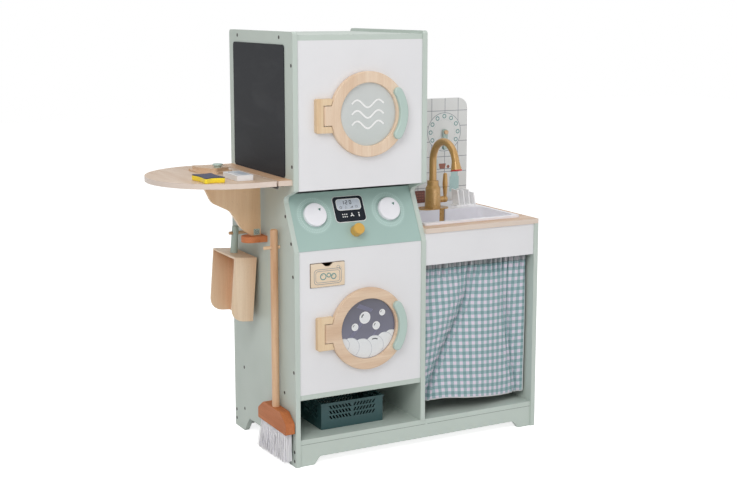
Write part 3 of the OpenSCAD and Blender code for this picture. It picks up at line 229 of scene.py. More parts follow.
def shade(tree, colour, rough, height, depth, edge=0.0007, wear_and_highlight=0.10, **numbers):
    """Ends a recipe: rounds the sharp CAD edges in shading, paints them a little paler for wear and as a
    painted highlight, adds relief.
    """
    rounded = add(tree, "Bevel", {"Radius": edge}, samples=4).outputs[0]
    # Edges are painted paler: partly wear, partly a painted highlight along the rounded edge.
    if wear_and_highlight:
        agrees = add(tree, "VectorMath", {0: rounded, 1: facing(tree)}, operation="DOT_PRODUCT")
        turned = math_of(tree, "SUBTRACT", 1.0, agrees.outputs["Value"], clamp=True)
        worn_and_lit_edge = math_of(tree, "MULTIPLY", turned, noise(tree, here(tree), 160, 2), clamp=True)
        share = math_of(tree, "MULTIPLY", worn_and_lit_edge, wear_and_highlight * WORN_AND_LIT_EDGE_GAIN, clamp=True)
        colour = mix(tree, share, colour, WORN_AND_LIT_EDGE_TONE)
    normal = bump(tree, height, depth, Normal=rounded)
    principled(tree, {"Base Color": colour, "Roughness": rough, "Normal": normal, **numbers})


# The paler edge tone stands for wear and a painted highlight.
print("edges are rubbed towards", WORN_AND_LIT_EDGE_TONE[:3])

# %% [markdown]
# ## Painted boards
# The mint and white boards are MDF or plywood under a satin paint. Up close such paint has a faint orange
# peel from the roller, and a very slow drift of tone. Two noises do that, one broad and one fine, and the
# edges are a trace paler: partly wear, because paint is thinnest there, and partly a painted highlight.


# %% Painted boards
def painted(name, colour, rough=0.5, drift=0.03, wear_and_highlight=0.10):
    material, tree = start(name)
    place = here(tree)
    slow = noise(tree, place, 4.5, 4)
    tone = ramp(tree, slow, [(0.3, times(colour, 1 - drift)), (0.7, times(colour, 1 + drift))])
    peel = noise(tree, place, 650, 2, 0.6)
    broad = noise(tree, place, 90, 2)
    height = math_of(tree, "MULTIPLY_ADD", broad, 0.6, peel)
    gloss = ramp(tree, noise(tree, place, 22, 3), [(0.3, rough - 0.05), (0.7, rough + 0.06)])
    shade(tree, tone, gloss, height, 0.00006, wear_and_highlight=wear_and_highlight)
    return material


mint_paint = painted("mint_paint", srgb(192, 203, 196))
control_paint = painted("control_paint", srgb(163, 189, 183))
white_paint = painted("white_paint", srgb(228, 228, 231), wear_and_highlight=0.05)
print("painted boards:", mint_paint.name, control_paint.name, white_paint.name)

# %% [markdown]
# ## Lacquered beech and plywood
# Beech is pale and pinkish, with soft long grain and countless short dark flecks. Grain is noise that has
# been pulled out along the board, so the direction matters more than the pattern: each material is told
# which way its boards run. Plywood is a little uneven in tone across its thickness. A soft band does that,
# and it shows only on the cut edges by itself, because on the face its value never changes. Blender's Wave
# texture repeats every 0.314 / scale metres, so PLY_WAVE gives one band in 18 mm.

# %% A recipe for wood
AXES = {"x": 0, "y": 1, "z": 2}
PLY_WAVE = 50 / 2.9
CORNER_SHADE_AMBER = srgb(208, 148, 80)
CORNER_SHADE_REACH = 0.06
LEVEL_ABOVE, EDGE_SHARE = 0.5, 0.72


def along(axis, length, across=1.0):
    return tuple(length if k == AXES[axis] else across for k in range(3))


def wooden(name, pale, deep, grain="z", rough=0.42, layers=None, flecks=0.35, contrast=1.0,
           edge_tone=None, corner_shade=0.0):
    """Wood with its grain along one axis. layers is plywood's thickness axis, edge_tone the colour of a
    board's cut edges, and the last argument how far its inner corners are darkened towards amber, as painted
    shade."""
    material, tree = start(name)
    place = here(tree)
    bent = noise(tree, stretched(tree, place, along(grain, 0.12)), 26, 5, 0.55, 0.6)
    fine = noise(tree, stretched(tree, place, along(grain, 0.03)), 420, 4, 0.6)
    both = math_of(tree, "MULTIPLY_ADD", math_of(tree, "SUBTRACT", fine, 0.5), 0.55, bent)
    spread = 0.2 / contrast
    middle = tuple((a + b) / 2 for a, b in zip(pale, deep))
    tone = ramp(tree, both, [(0.5 - spread, pale), (0.5, middle), (0.5 + spread, deep)])
    spots = noise(tree, stretched(tree, place, along(grain, 0.16)), 950, 2, 0.4)
    fleck = ramp(tree, spots, [(0.62, 0.0), (0.72, 1.0)])
    tone = mix(tree, math_of(tree, "MULTIPLY", fleck, flecks, clamp=True), tone, times(deep, 0.72))
    if layers:
        band = add(tree, "TexWave", {"Vector": place, "Scale": PLY_WAVE}, wave_type="BANDS",
                   bands_direction=layers.upper(), wave_profile="SIN").outputs[1]
        tone = mix(tree, ramp(tree, band, [(0.35, 0.0), (0.6, 0.28)]), tone, times(deep, 0.8))
    if edge_tone:
        upward = axis_of(tree, facing(tree), AXES["z"])
        on_edge = math_of(tree, "LESS_THAN", math_of(tree, "ABSOLUTE", upward), LEVEL_ABOVE)
        tone = mix(tree, math_of(tree, "MULTIPLY", on_edge, EDGE_SHARE), tone, edge_tone)
    # Painted shade: inner corners are darkened towards amber, where a real hollow gets less light.
    if corner_shade:
        painted_corner_shade = remap(tree, open_air(tree, CORNER_SHADE_REACH), 0.45, 0.95, corner_shade, 0.0)
        tone = mix(tree, painted_corner_shade, tone, CORNER_SHADE_AMBER, "MULTIPLY")
    height = math_of(tree, "MULTIPLY_ADD", fleck, -0.6, fine)
    gloss = ramp(tree, bent, [(0.3, rough - 0.06), (0.7, rough + 0.08)])
    shade(tree, tone, gloss, height, 0.00005, edge=0.0009, wear_and_highlight=0.05)
    return material


print("wood has its grain along one of", list(AXES))

# %% [markdown]
# Each board gets its own pale and deep tone, because boards of one kind still differ, and the cut edges of
# the worktop, leaf and ledge are paler than their faces. The bracket's tones are also lifted brighter as
# painted light, because it hangs in the leaf's shade.

# %% The woods
pale_edge = srgb(222, 211, 202)
beech_ring = wooden("beech_ring", srgb(233, 212, 189), srgb(216, 186, 158), "z")
beech_washer_ring = wooden("beech_washer_ring", srgb(226, 202, 177), srgb(206, 174, 145), "x")
beech_top = wooden("beech_worktop", srgb(220, 192, 167), srgb(199, 165, 137), "x", edge_tone=pale_edge)
beech_leaf = wooden("beech_leaf", srgb(219, 196, 174), srgb(203, 175, 150), "y",
                    edge_tone=srgb(224, 211, 203))
beech_ledge = wooden("beech_ledge", srgb(222, 186, 152), srgb(204, 160, 124), "y", edge_tone=pale_edge)
beech_rod = wooden("beech_rod", srgb(230, 196, 160), srgb(212, 168, 125), "x")
ply_block = wooden("ply_block", srgb(231, 208, 175), srgb(217, 186, 147), "z", layers="y", contrast=1.1)
ply_drawer = wooden("ply_drawer", srgb(242, 226, 204), srgb(230, 208, 180), "x", layers="y")
# The bracket's plywood is painted brighter than the rest: painted light, because the leaf shades it.
ply_bracket_painted_light = wooden("ply_bracket_painted_light", srgb(247, 216, 178), srgb(232, 194, 152), "z", layers="y")
# The pan's inner corners get painted shade in amber.
ply_pan = wooden("ply_pan", srgb(246, 224, 198), srgb(231, 204, 173), "z", contrast=0.9, corner_shade=0.55)
ply_iron = wooden("ply_iron", srgb(230, 202, 172), srgb(212, 180, 148), "y", layers="z")
stick_wood = wooden("stick_wood", srgb(222, 184, 148), srgb(196, 150, 112), "z", contrast=1.2)
print("woods:", [wood.name for wood in (beech_ring, beech_top, beech_leaf, ply_block, stick_wood)])

# %% [markdown]
# ## Stained and coloured wood
# The broom head and the pivot block are wood under a translucent terracotta stain: the grain still shows.
# The pivot block's copy is painted brighter, as painted light, because the leaf shades it.
# The handles are painted mint over turned wood, and the start button is painted mustard, both smoother
# than the boards, because small turned parts are sprayed, not rolled.

# %% Stained and coloured wood
terracotta = wooden("terracotta_stain", srgb(196, 118, 66), srgb(166, 92, 46), "y", rough=0.6, flecks=0.45)
# The pivot block's stain is painted brighter than the head's: painted light for the leaf's shade over it.
terracotta_block_painted_light = wooden("terracotta_block_painted_light", srgb(216, 134, 84), srgb(186, 105, 60), "y", rough=0.6,
                          flecks=0.45)
handle_mint = painted("handle_mint", srgb(180, 200, 193), rough=0.42, drift=0.025, wear_and_highlight=0.08)
mustard = painted("mustard_paint", srgb(212, 166, 76), rough=0.38, drift=0.03, wear_and_highlight=0.08)
print("stained:", terracotta.name, handle_mint.name, mustard.name)

# %% [markdown]
# ## Plastics and metal
# The tub, dials and rack are moulded in white, the tap in a warm gold-brown with a soft gloss and the
# faintest swirl in the colour. The doors' hinge pins and the bracket's fittings are zinc-plated steel. The
# panel screws and the hinges under the table are blackened, which at this size reads as a dark satin
# plastic, so the moulded recipe serves them too.


# %% Plastics and metal
def moulded(name, colour, rough=0.3, drift=0.02, grain=0.00003, coat=0.0, wear_and_highlight=0.06, edge=0.0008, metal=0.0):
    material, tree = start(name)
    place = here(tree)
    swirl = noise(tree, place, 18, 4, 0.55, 1.2)
    tone = ramp(tree, swirl, [(0.32, times(colour, 1 - drift)), (0.68, times(colour, 1 + drift))])
    fine = noise(tree, place, 1400, 2)
    gloss = ramp(tree, noise(tree, place, 60, 3), [(0.35, rough - 0.04), (0.65, rough + 0.05)])
    shade(tree, tone, gloss, fine, grain, edge=edge, wear_and_highlight=wear_and_highlight,
          **{"Coat Weight": coat, "Coat Roughness": 0.12, "Metallic": metal})
    return material


white_plastic = moulded("white_plastic", srgb(240, 239, 245), 0.32)
# The rack's white is painted brighter than the tub's: painted light, because the rack sits in shade.
rack_white_painted_light = moulded("rack_white_painted_light", srgb(254, 254, 255), 0.36)
gold_plastic = moulded("gold_plastic", srgb(190, 148, 86), 0.3, drift=0.03, coat=0.3, metal=0.25)
red_plastic = moulded("red_plastic", srgb(196, 38, 34), 0.3, coat=0.2)
teal_plastic = moulded("teal_plastic", srgb(38, 73, 75), 0.5, drift=0.06, grain=0.00006)
rod_white = moulded("rod_white", srgb(225, 225, 225), 0.4)


def plated(name, colour, rough=0.34):
    material, tree = start(name)
    place = here(tree)
    blotch = noise(tree, place, 210, 4, 0.6)
    tone = ramp(tree, blotch, [(0.35, times(colour, 0.86)), (0.65, times(colour, 1.08))])
    brushed = noise(tree, stretched(tree, place, (1, 0.06, 1)), 2600, 2)
    gloss = ramp(tree, blotch, [(0.3, rough - 0.08), (0.7, rough + 0.12)])
    shade(tree, tone, gloss, brushed, 0.00003, edge=0.0003, wear_and_highlight=0.05, **{"Metallic": 1.0})
    return material


dark_steel = moulded("blackened_steel", srgb(26, 20, 18), 0.5, drift=0.2)
zinc_steel = plated("zinc_steel", srgb(196, 196, 194))
print("plastics and metal:", white_plastic.name, gold_plastic.name, dark_steel.name)

# %% [markdown]
# ## Slate film, and the two windows
# The blackboard is a dark film with the cloudy ghost of wiped chalk. The windows are clear discs over an
# opaque print: what the eye sees is the print's colour under a glossy coat, so a coat layer on the
# shader is truer here than real transparency would be.


# %% Slate and windows
def slate(name, colour, chalk):
    material, tree = start(name)
    place = here(tree)
    wiped = noise(tree, stretched(tree, place, (1, 0.5, 1.6), (0.5, 0, 0)), 9, 5, 0.62, 0.8)
    dusty = ramp(tree, wiped, [(0.5, 0.0), (0.8, chalk)])
    tone = mix(tree, dusty, colour, srgb(190, 194, 196))
    tooth = noise(tree, place, 1800, 3)
    gloss = ramp(tree, wiped, [(0.3, 0.5), (0.7, 0.66)])
    shade(tree, tone, gloss, tooth, 0.00004, edge=0.0004, wear_and_highlight=0.02, **{"Specular IOR Level": 0.12})
    return material


slate_film = slate("slate_film", srgb(44, 46, 50), 0.035)
display_film = slate("display_film", srgb(34, 38, 46), 0.0)


def window(name, top, bottom, node):
    """A clear disc over a print that fades from one colour at its foot to another at its top."""
    material, tree = start(name)
    place = here(tree)
    low, high = (corner.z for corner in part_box(node))
    rise = remap(tree, axis_of(tree, place, AXES["z"]), low, high, 0.0, 1.0)
    cloud = math_of(tree, "SUBTRACT", noise(tree, place, 14, 3), 0.5)
    tone = ramp(tree, math_of(tree, "MULTIPLY_ADD", cloud, 0.5, rise), [(0.1, bottom), (0.9, top)])
    smear = ramp(tree, noise(tree, place, 30, 4), [(0.4, 0.12), (0.75, 0.26)])
    shade(tree, tone, smear, noise(tree, place, 700, 2), 0.00002, edge=0.0003, wear_and_highlight=0.0,
          **{"Coat Weight": 0.6, "Coat Roughness": 0.06})
    print(name, "spans", round(high - low, 3), "m")
    return material


dryer_glass = window("dryer_glass", srgb(196, 200, 199), srgb(188, 195, 193), "dryer_window")
drum_glass = window("drum_glass", srgb(70, 68, 84), srgb(112, 114, 138), "washer_window")

# %% [markdown]
# ## Tiled backsplash
# The backsplash is a board printed with thin grey tile joints. Blender's brick pattern without any offset
# between its rows is exactly a tile grid, so no drawing is needed, and the joint width stays true.

# %% Tiled backsplash
TILE = 0.0408
JOINT = 0.0016
TILE_CORNER = at(598, 0, 740)


def tiled(name, paint, joint):
    material, tree = start(name)
    place = here(tree)
    moved = add(tree, "VectorMath", {0: place, 1: tuple(TILE_CORNER)}, operation="SUBTRACT").outputs[0]
    split = add(tree, "SeparateXYZ", {0: moved})
    flat = add(tree, "CombineXYZ", {0: split.outputs[0], 1: split.outputs[2], 2: 0.0}).outputs[0]
    bricks = add(tree, "TexBrick", {
        "Vector": flat, "Color1": paint, "Color2": times(paint, 0.975), "Mortar": joint, "Scale": 1.0,
        "Mortar Size": JOINT / 2, "Mortar Smooth": 0.2, "Brick Width": TILE, "Row Height": TILE},
        offset=0.0, squash=1.0)
    slow = noise(tree, place, 9, 4)
    tone = mix(tree, 0.5, bricks.outputs[0], ramp(tree, slow, [(0.3, 0.93), (0.7, 1.0)]), "MULTIPLY")
    on_front = math_of(tree, "LESS_THAN", axis_of(tree, facing(tree), AXES["y"]), -0.9)
    tone = mix(tree, on_front, paint, tone)
    relief = math_of(tree, "MULTIPLY_ADD", bricks.outputs[1], -0.5, noise(tree, place, 650, 2))
    shade(tree, tone, ramp(tree, slow, [(0.3, 0.36), (0.7, 0.46)]), relief, 0.00005, wear_and_highlight=0.05)
    return material


tile_print = tiled("tile_print", srgb(227, 228, 227), srgb(128, 131, 141))
print("tiles of", TILE * 1000, "mm")

# %% [markdown]
# ## Dressing the CAD parts
# Each rigid CAD part keeps its shape and only gets its finish here, by name. Grain runs the way the board
# was cut: along the worktop, down the bracket, and straight across a ring.

# %% Dress the CAD parts
finish_of = {
    mint_paint: "left_side_panel divider_panel right_side_panel top_board dryer_floor_board shelf_board "
                "floor_board front_plinth back_plinths",
    control_paint: "control_panel",
    white_paint: "dryer_front washer_front back_panels sink_apron soap_packet",
    tile_print: "backsplash",
    beech_top: "worktop",
    beech_leaf: "table_leaf",
    beech_ledge: "ledge_board",
    beech_ring: "dryer_door_ring",
    beech_washer_ring: "washer_door_ring",
    beech_rod: "wooden_pegs",
    rod_white: "curtain_rod",
    ply_block: "door_hinge_blocks",
    ply_drawer: "drawer_front drawer_box drawer_housing",
    ply_bracket_painted_light: "swing_bracket",
    ply_pan: "dustpan",
    ply_iron: "iron_sole",
    stick_wood: "broom_stick",
    terracotta: "broom_head",
    terracotta_block_painted_light: "pivot_block",
    handle_mint: "dryer_door_grip washer_door_grip clock_hand dustpan_handle iron_knob",
    mustard: "start_button",
    dryer_glass: "dryer_window",
    drum_glass: "washer_window",
    white_plastic: "left_dial right_dial sink_tub",
    rack_white_painted_light: "dish_rack",
    gold_plastic: "tap_body tap_spout tap_lever",
    red_plastic: "nozzle_ring",
    slate_film: "blackboard",
    display_film: "display_plate",
    teal_plastic: "crate",
    dark_steel: "panel_screws table_hinges_fixed table_hinges_moving",
    zinc_steel: "door_hinge_pins pivot_fittings",
}
dressed = 0
for finish, names in finish_of.items():
    for name in names.split():
        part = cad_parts[name]
        if not part.material_slots:
            part.data.materials.append(finish)
        for holder in part.material_slots:
            holder.material = finish
        dressed += 1
print(dressed, "CAD parts dressed")

# %% [markdown]
# ## Drawing with thin films
# Printed marks lie a tenth of a millimetre or so proud of what carries them, as ink does. `stroke` gives a
# line its width, `circle` and `rounded_box` give shapes to fill, and `film` lays them on any plane and lets
# them ride with the part that they are printed on. `printed` lays several films on one sheet.


# %% Lines and shapes
def stroke(line, width, closed=False):
    """Quads along a line, all facing the viewer."""
    count, sides = len(line), []
    for i, point in enumerate(line):
        before = line[(i - 1) % count] if closed or i else point
        after = line[(i + 1) % count] if closed or i < count - 1 else point
        way = Vector((after[0] - before[0], after[1] - before[1])).normalized()
        side = Vector((-way.y, way.x)) * width / 2
        sides.append(((point[0] + side.x, point[1] + side.y), (point[0] - side.x, point[1] - side.y)))
    pairs = [(i, (i + 1) % count) for i in range(count if closed else count - 1)]
    return [[sides[a][1], sides[b][1], sides[b][0], sides[a][0]] for a, b in pairs]


def outline(points, width):
    return stroke(points, width, closed=True)


def arc(u, v, radius, first=0, last=360, steps=40):
    angles = [math.radians(first + (last - first) * k / steps) for k in range(steps + 1)]
    return [(u + radius * math.cos(a), v + radius * math.sin(a)) for a in angles]


def circle(u, v, radius, steps=40):
    return arc(u, v, radius, steps=steps)[:-1]


def ring(u, v, radius, width, steps=40):
    return outline(circle(u, v, radius, steps), width)


def rounded_box(u0, v0, u1, v1, radius):
    corners = ((u1 - radius, v1 - radius, 0), (u0 + radius, v1 - radius, 90),
               (u0 + radius, v0 + radius, 180), (u1 - radius, v0 + radius, 270))
    return [point for u, v, turn in corners for point in arc(u, v, radius, turn, turn + 90, 7)]


def box_patch(u0, v0, u1, v1):
    return [(u0, v0), (u1, v0), (u1, v1), (u0, v1)]


print("drawing helpers ready")

# %% [markdown]
# Every new piece goes through `piece`: it gets its finish, if it has one, and the body that it rides on, so
# that it moves with its door, drawer or dial.

# %% Pieces and films
FILM_LIFT = 0.15


def piece(name, mesh, body, finish):
    made = bpy.data.objects.new(name, mesh)
    bpy.context.scene.collection.objects.link(made)
    if finish:
        mesh.materials.append(finish)
    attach(made, body)
    return made


def film(name, faces, sheet, body, finish, slot_name, lift=FILM_LIFT):
    points, polygons = [], []
    for face in faces:
        polygons.append(list(range(len(points), len(points) + len(face))))
        points += [(u, v, lift) for u, v in face]
    mesh = bpy.data.meshes.new(name)
    mesh.from_pydata(points, [], polygons)
    mesh.transform(sheet)
    mesh.update()
    print("film", name, len(faces), "faces")
    return piece(name, mesh, body, finish)


def printed(sheet, body, slot_name, *marks):
    """Several films on one sheet, each given as (name, faces, finish) and perhaps its lift."""
    for name, faces, finish, *lift in marks:
        film(name, faces, sheet, body, finish, slot_name, *lift)


# %% [markdown]
# Printing ink needs a finish too: slightly uneven, a little glossier than paint, and worn thin in spots.


# %% Inks
def ink(name, colour, rough=0.4, worn=0.06):
    material, tree = start(name)
    place = here(tree)
    thin = noise(tree, place, 260, 4, 0.65)
    tone = ramp(tree, thin, [(0.35, times(colour, 1 - worn)), (0.7, times(colour, 1 + worn))])
    shade(tree, tone, rough, noise(tree, place, 1500, 2), 0.00002, edge=0.0002, wear_and_highlight=0.0)
    return material


white_ink = ink("white_ink", srgb(240, 240, 240))
joint_ink = ink("joint_ink", srgb(126, 136, 146))
teal_ink = ink("teal_ink", srgb(82, 140, 140))
pale_mint_ink = ink("pale_mint_ink", srgb(188, 211, 206), worn=0.02)
faint_mint_ink = ink("faint_mint_ink", srgb(171, 197, 191), worn=0.02)
dark_ink = ink("dark_ink", srgb(48, 56, 62))
deep_teal_ink = ink("deep_teal_ink", srgb(40, 104, 92))
streak_ink = ink("streak_ink", srgb(108, 108, 130), worn=0.02)
foam_ink = ink("foam_ink", srgb(224, 226, 228), worn=0.03)
shadow_ink = ink("shadow_ink", srgb(178, 182, 190))
screen_ink = ink("screen_ink", srgb(198, 205, 216), 0.3)
clay_ink = ink("clay_ink", srgb(150, 92, 74))
brown_ink = ink("brown_ink", srgb(118, 72, 62))
print("inks mixed")

# %% [markdown]
# ## Geometry Nodes for what repeats
# A row of ticks or a field of bristles is one mark and a rule. A Geometry Nodes tree holds the rule with
# named inputs. `grow` runs the tree once, keeps the plain mesh that it makes and throws the modifier away,
# because a finished piece must not depend on a live tree.


# %% Geometry Nodes helpers
SOCKET_KINDS = {int: "NodeSocketInt", float: "NodeSocketFloat", type(None): "NodeSocketMaterial"}


def rule(name, **sizes):
    """An empty tree with named inputs, and its two end nodes. None stands for a finish."""
    tree = bpy.data.node_groups.new(name, "GeometryNodeTree")
    for label, value in sizes.items():
        kind = SOCKET_KINDS[type(value)]
        socket = tree.interface.new_socket(name=label, in_out="INPUT", socket_type=kind)
        if value is not None:
            socket.default_value = value
    tree.interface.new_socket(name="Geometry", in_out="OUTPUT", socket_type="NodeSocketGeometry")
    return tree, tree.nodes.new("NodeGroupInput").outputs, tree.nodes.new("NodeGroupOutput").inputs


def geo(tree, kind, inputs=None, **settings):
    return step(tree, "GeometryNode" + kind, inputs, **settings).outputs[0]


def vector_of(tree, **parts):
    return add(tree, "CombineXYZ", {key.upper(): value for key, value in parts.items()}).outputs[0]


def grow(name, tree, values, sheet, body):
    holder = bpy.data.objects.new(name + "_seed", bpy.data.meshes.new(name + "_seed"))
    bpy.context.scene.collection.objects.link(holder)
    modifier = holder.modifiers.new("rule", "NODES")
    modifier.node_group = tree
    for socket in tree.interface.items_tree:
        if socket.name in values:
            modifier[socket.identifier] = values[socket.name]
    seen = holder.evaluated_get(bpy.context.evaluated_depsgraph_get())
    mesh = bpy.data.meshes.new_from_object(seen)
    holder.modifiers.clear()
    bpy.data.objects.remove(holder)
    mesh.name = name
    mesh.transform(sheet)
    mesh.update()
    print("grown", name, len(mesh.polygons), "faces")
    return piece(name, mesh, body, None)


# %% [markdown]
# ### Marks round a circle
# The dials and the clock both have marks at even angles. Their two rules share one ending: a circle of
# points, a mark on each, the whole lifted a little off the sheet and given its finish.


# %% The shared ending
def round_a_circle(tree, given, end, mark, **turning):
    points = geo(tree, "MeshCircle", {"Vertices": given["Count"], "Radius": given["Radius"]})
    placed = geo(tree, "InstanceOnPoints", {"Points": points, "Instance": mark, **turning})
    real = geo(tree, "RealizeInstances", {0: placed})
    raised = geo(tree, "SetPosition", {"Geometry": real, "Offset": vector_of(tree, z=given["Lift"])})
    done = geo(tree, "SetMaterial", {"Geometry": raised, "Material": given["Finish"]})
    tree.links.new(done, end[0])
    print("rule:", tree.name)


# %% [markdown]
# The dials have small bars, each turned to face the middle. The clock has small rings: a circle drawn
# with a flat nib as wide as the line.

# %% The tick rule
ticks, given, end = rule("ticks_round_a_circle", Count=24, Radius=40.0, Length=6.0, Width=1.2,
                         Lift=FILM_LIFT, Finish=None)
bar = geo(ticks, "MeshGrid", {"Size X": given["Length"], "Size Y": given["Width"],
                              "Vertices X": 4, "Vertices Y": 2})
inward = step(ticks, "FunctionNodeAlignRotationToVector", {"Vector": geo(ticks, "InputPosition")},
              axis="X", pivot_axis="Z").outputs[0]
round_a_circle(ticks, given, end, bar, Rotation=inward)

# %% The ring rule
rings, given, end = rule("rings_round_a_circle", Count=12, Radius=42.0, Ring=5.0, Width=1.6,
                         Lift=FILM_LIFT, Finish=None)
loop = geo(rings, "CurvePrimitiveCircle", {"Resolution": 24, "Radius": given["Ring"]})
left, right = (vector_of(rings, x=math_of(rings, "MULTIPLY", given["Width"], half)) for half in (-0.5, 0.5))
nib = geo(rings, "CurvePrimitiveLine", {"Start": left, "End": right})
round_a_circle(rings, given, end, geo(rings, "CurveToMesh", {0: loop, "Profile Curve": nib}))

# %% [markdown]
# ## The control panel's prints
# The panel slopes back at 27 degrees. Everything printed on it is drawn on one sheet with that slope: a
# soft pale ring with short bars round each dial, a white edge round the display, a pointer on each dial.

# %% The slope
SLOPE = math.atan2(60, 117)
WASHER_TOP = 507
PANEL_RECESS = 1.5
SLOPE_UP = (0, math.sin(SLOPE), math.cos(SLOPE))


def on_slope(x, s, out=0.0):
    """A sheet on the panel, s millimetres up its slope and out in front of it."""
    y = (PANEL_RECESS - out) * math.cos(SLOPE) + s * math.sin(SLOPE)
    z = WASHER_TOP - (PANEL_RECESS - out) * math.sin(SLOPE) + s * math.cos(SLOPE)
    return plane(at(x, y, z), up=SLOPE_UP)


print("panel slopes back", round(math.degrees(SLOPE), 1), "degrees")

# %% The dials' prints
DIAL_X = {"left": 69.5, "right": 262.5}
DIAL_S, DIAL_R, DIAL_FACE = 85, 28, 9.4
BROAD_RING, THIN_RING, INNER_TICKS, OUTER_TICKS = (DIAL_R * share for share in (1.36, 1.62, 1.26, 1.46))
TICK_L, TICK_W = 4.2, 2.1
POINTER_TIP, POINTER_HEEL, POINTER_HALF = 20.5, 14.0, 3.8
POINTER_COS, POINTER_SIN = math.cos(0.75), math.sin(0.75)
pointer = [(u * POINTER_COS - v * POINTER_SIN, u * POINTER_SIN + v * POINTER_COS)
           for u, v in ((POINTER_TIP, 0), (POINTER_HEEL, POINTER_HALF), (POINTER_HEEL, -POINTER_HALF))]
for side, x in DIAL_X.items():
    sheet = on_slope(x, DIAL_S)
    film(side + "_dial_ring", ring(0, 0, BROAD_RING, 11.0) + ring(0, 0, THIN_RING, 0.9, 64), sheet,
         "cabinet", faint_mint_ink, "control_board", lift=0.1)
    for name, radius, count in (("_dial_ticks", INNER_TICKS, 52), ("_dial_outer_ticks", OUTER_TICKS, 60)):
        grow(side + name, ticks, {"Count": count, "Radius": radius, "Length": TICK_L, "Width": TICK_W,
                                  "Finish": pale_mint_ink}, sheet, "cabinet")
    film(side + "_dial_pointer", [pointer], on_slope(x, DIAL_S, DIAL_FACE), "dial_" + side, deep_teal_ink,
         "white_plastic")

# %% [markdown]
# ### The display
# A dark plate with a pale screen. The digits are plain seven-segment ones, drawn from a table of lit
# segments, and the marks under them are simple shapes that mean nothing in particular.

# %% The display's screen
DISPLAY_X, DISPLAY_S, DISPLAY_FACE = 161, 94, 1.5
EDGE_U, EDGE_V = 39, 31
edge = rounded_box(-EDGE_U, -EDGE_V, EDGE_U, EDGE_V, 8.5)
film("display_edge", outline(edge, 2.6), on_slope(DISPLAY_X, DISPLAY_S), "cabinet", white_ink, "slate_film")
plate_face = on_slope(DISPLAY_X, DISPLAY_S, DISPLAY_FACE)
screen = rounded_box(-31, -2.5, 31, 24, 7)
printed(plate_face, "cabinet", "slate_film",
        ("display_screen", [screen], screen_ink, 0.1),
        ("display_screen_edge", outline(screen, 1.4), white_ink))

# %% The display's digits
SEGMENTS = {"0": "abcdef", "1": "bc", "2": "abged"}
BARS = {"a": ((0, 2), (1, 2)), "b": ((1, 2), (1, 1)), "c": ((1, 1), (1, 0)), "d": ((1, 0), (0, 0)),
        "e": ((0, 0), (0, 1)), "f": ((0, 1), (0, 2)), "g": ((0, 1), (1, 1))}
DIGIT_V, DIGIT_SIZE, THIN = 11.5, 4.2, 0.9


def digit(figure, u, v, size):
    return [face for key in SEGMENTS[figure]
            for face in stroke([(u + a * size, v + b * size) for a, b in BARS[key]], size * 0.36)]


digits = [face for figure, u in (("1", -16), ("2", -6.5), ("0", 3.5))
          for face in digit(figure, u, DIGIT_V, DIGIT_SIZE)]
digits += [circle(-9.5, v, 0.7, 10) for v in (14, 18)]
digits += ring(-21, 4.5, 2.6, THIN, 20)
digits += outline([(-10.5, 2), (-8, 7), (-5.5, 2)], THIN)
digits += [box_patch(4 + 2.4 * k, 2, 5.4 + 2.4 * k, 3.6 + 1.3 * k) for k in range(3)]
digits += outline([(17, 2.5), (22.5, 2.5), (22.5, 6.8), (17, 6.8)], THIN)
print("digits and signs of", len(digits), "faces")

# %% The display's marks
FAN_U, FAN_V, BLADE = 4, -15.8, 5.2
marks = [circle(-20 + 5.2 * k, -13 - 6 * row, 1.5, 14) for k in range(3) for row in range(2)]
for k in range(3):
    way = 2.1 * k + 1.57
    tip = (FAN_U + BLADE * math.cos(way), FAN_V + BLADE * math.sin(way))
    marks += stroke([(FAN_U, FAN_V), tip], 2.4)
marks += [circle(22, -11.5, 1.6, 14), box_patch(20.6, -20.5, 23.4, -14.5)]
printed(plate_face, "cabinet", "slate_film",
        ("display_digits", digits, dark_ink, 0.2), ("display_marks", marks, white_ink, 0.2))

# %% [markdown]
# ## The soap drawer's print
# A double rounded frame in thin grey lines. Inside it are three plain bubbles in teal, and two small rings
# sit at its corner.


# %% The soap drawer's print
def spot(node, x=0.5, y=0.5, z=0.5):
    """A point of a node's box: 0 is its low side and 1 its high side on each axis."""
    low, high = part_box(node)
    return Vector([a + (b - a) * share for a, b, share in zip(low, high, (x, y, z))])


frame_lines = outline(rounded_box(-35, -21, 34, 13.5, 8), 1.1)
frame_lines += outline(rounded_box(-31, -17, 30, 9.5, 6), 1.0)
bubbles = ring(-12, -3.5, 7, 2.2) + ring(2, -1, 4.6, 2.0) + ring(14.5, -4.5, 6, 2.2)
bubbles += stroke(arc(-12, -3.5, 4.2, 100, 160, 8), 1.0) + stroke(arc(14.5, -4.5, 3.4, 100, 160, 8), 1.0)
corner_rings = ring(26, 16.5, 3.4, 0.8, 24) + ring(31.5, 13, 2.2, 0.8, 20)
printed(plane(spot("drawer_front", y=0)), "soap_drawer", "plywood",
        ("drawer_frame", frame_lines, joint_ink),
        ("drawer_bubbles", bubbles, teal_ink),
        ("drawer_corner_rings", corner_rings, joint_ink, 0.2))

# %% [markdown]
# ## Prints behind the windows
# The dryer shows plain warm-air waves, the washer a heap of foam with a few bubbles above it. The heap is
# drawn column by column: from the window's lower rim up to the highest of several overlapping circles.

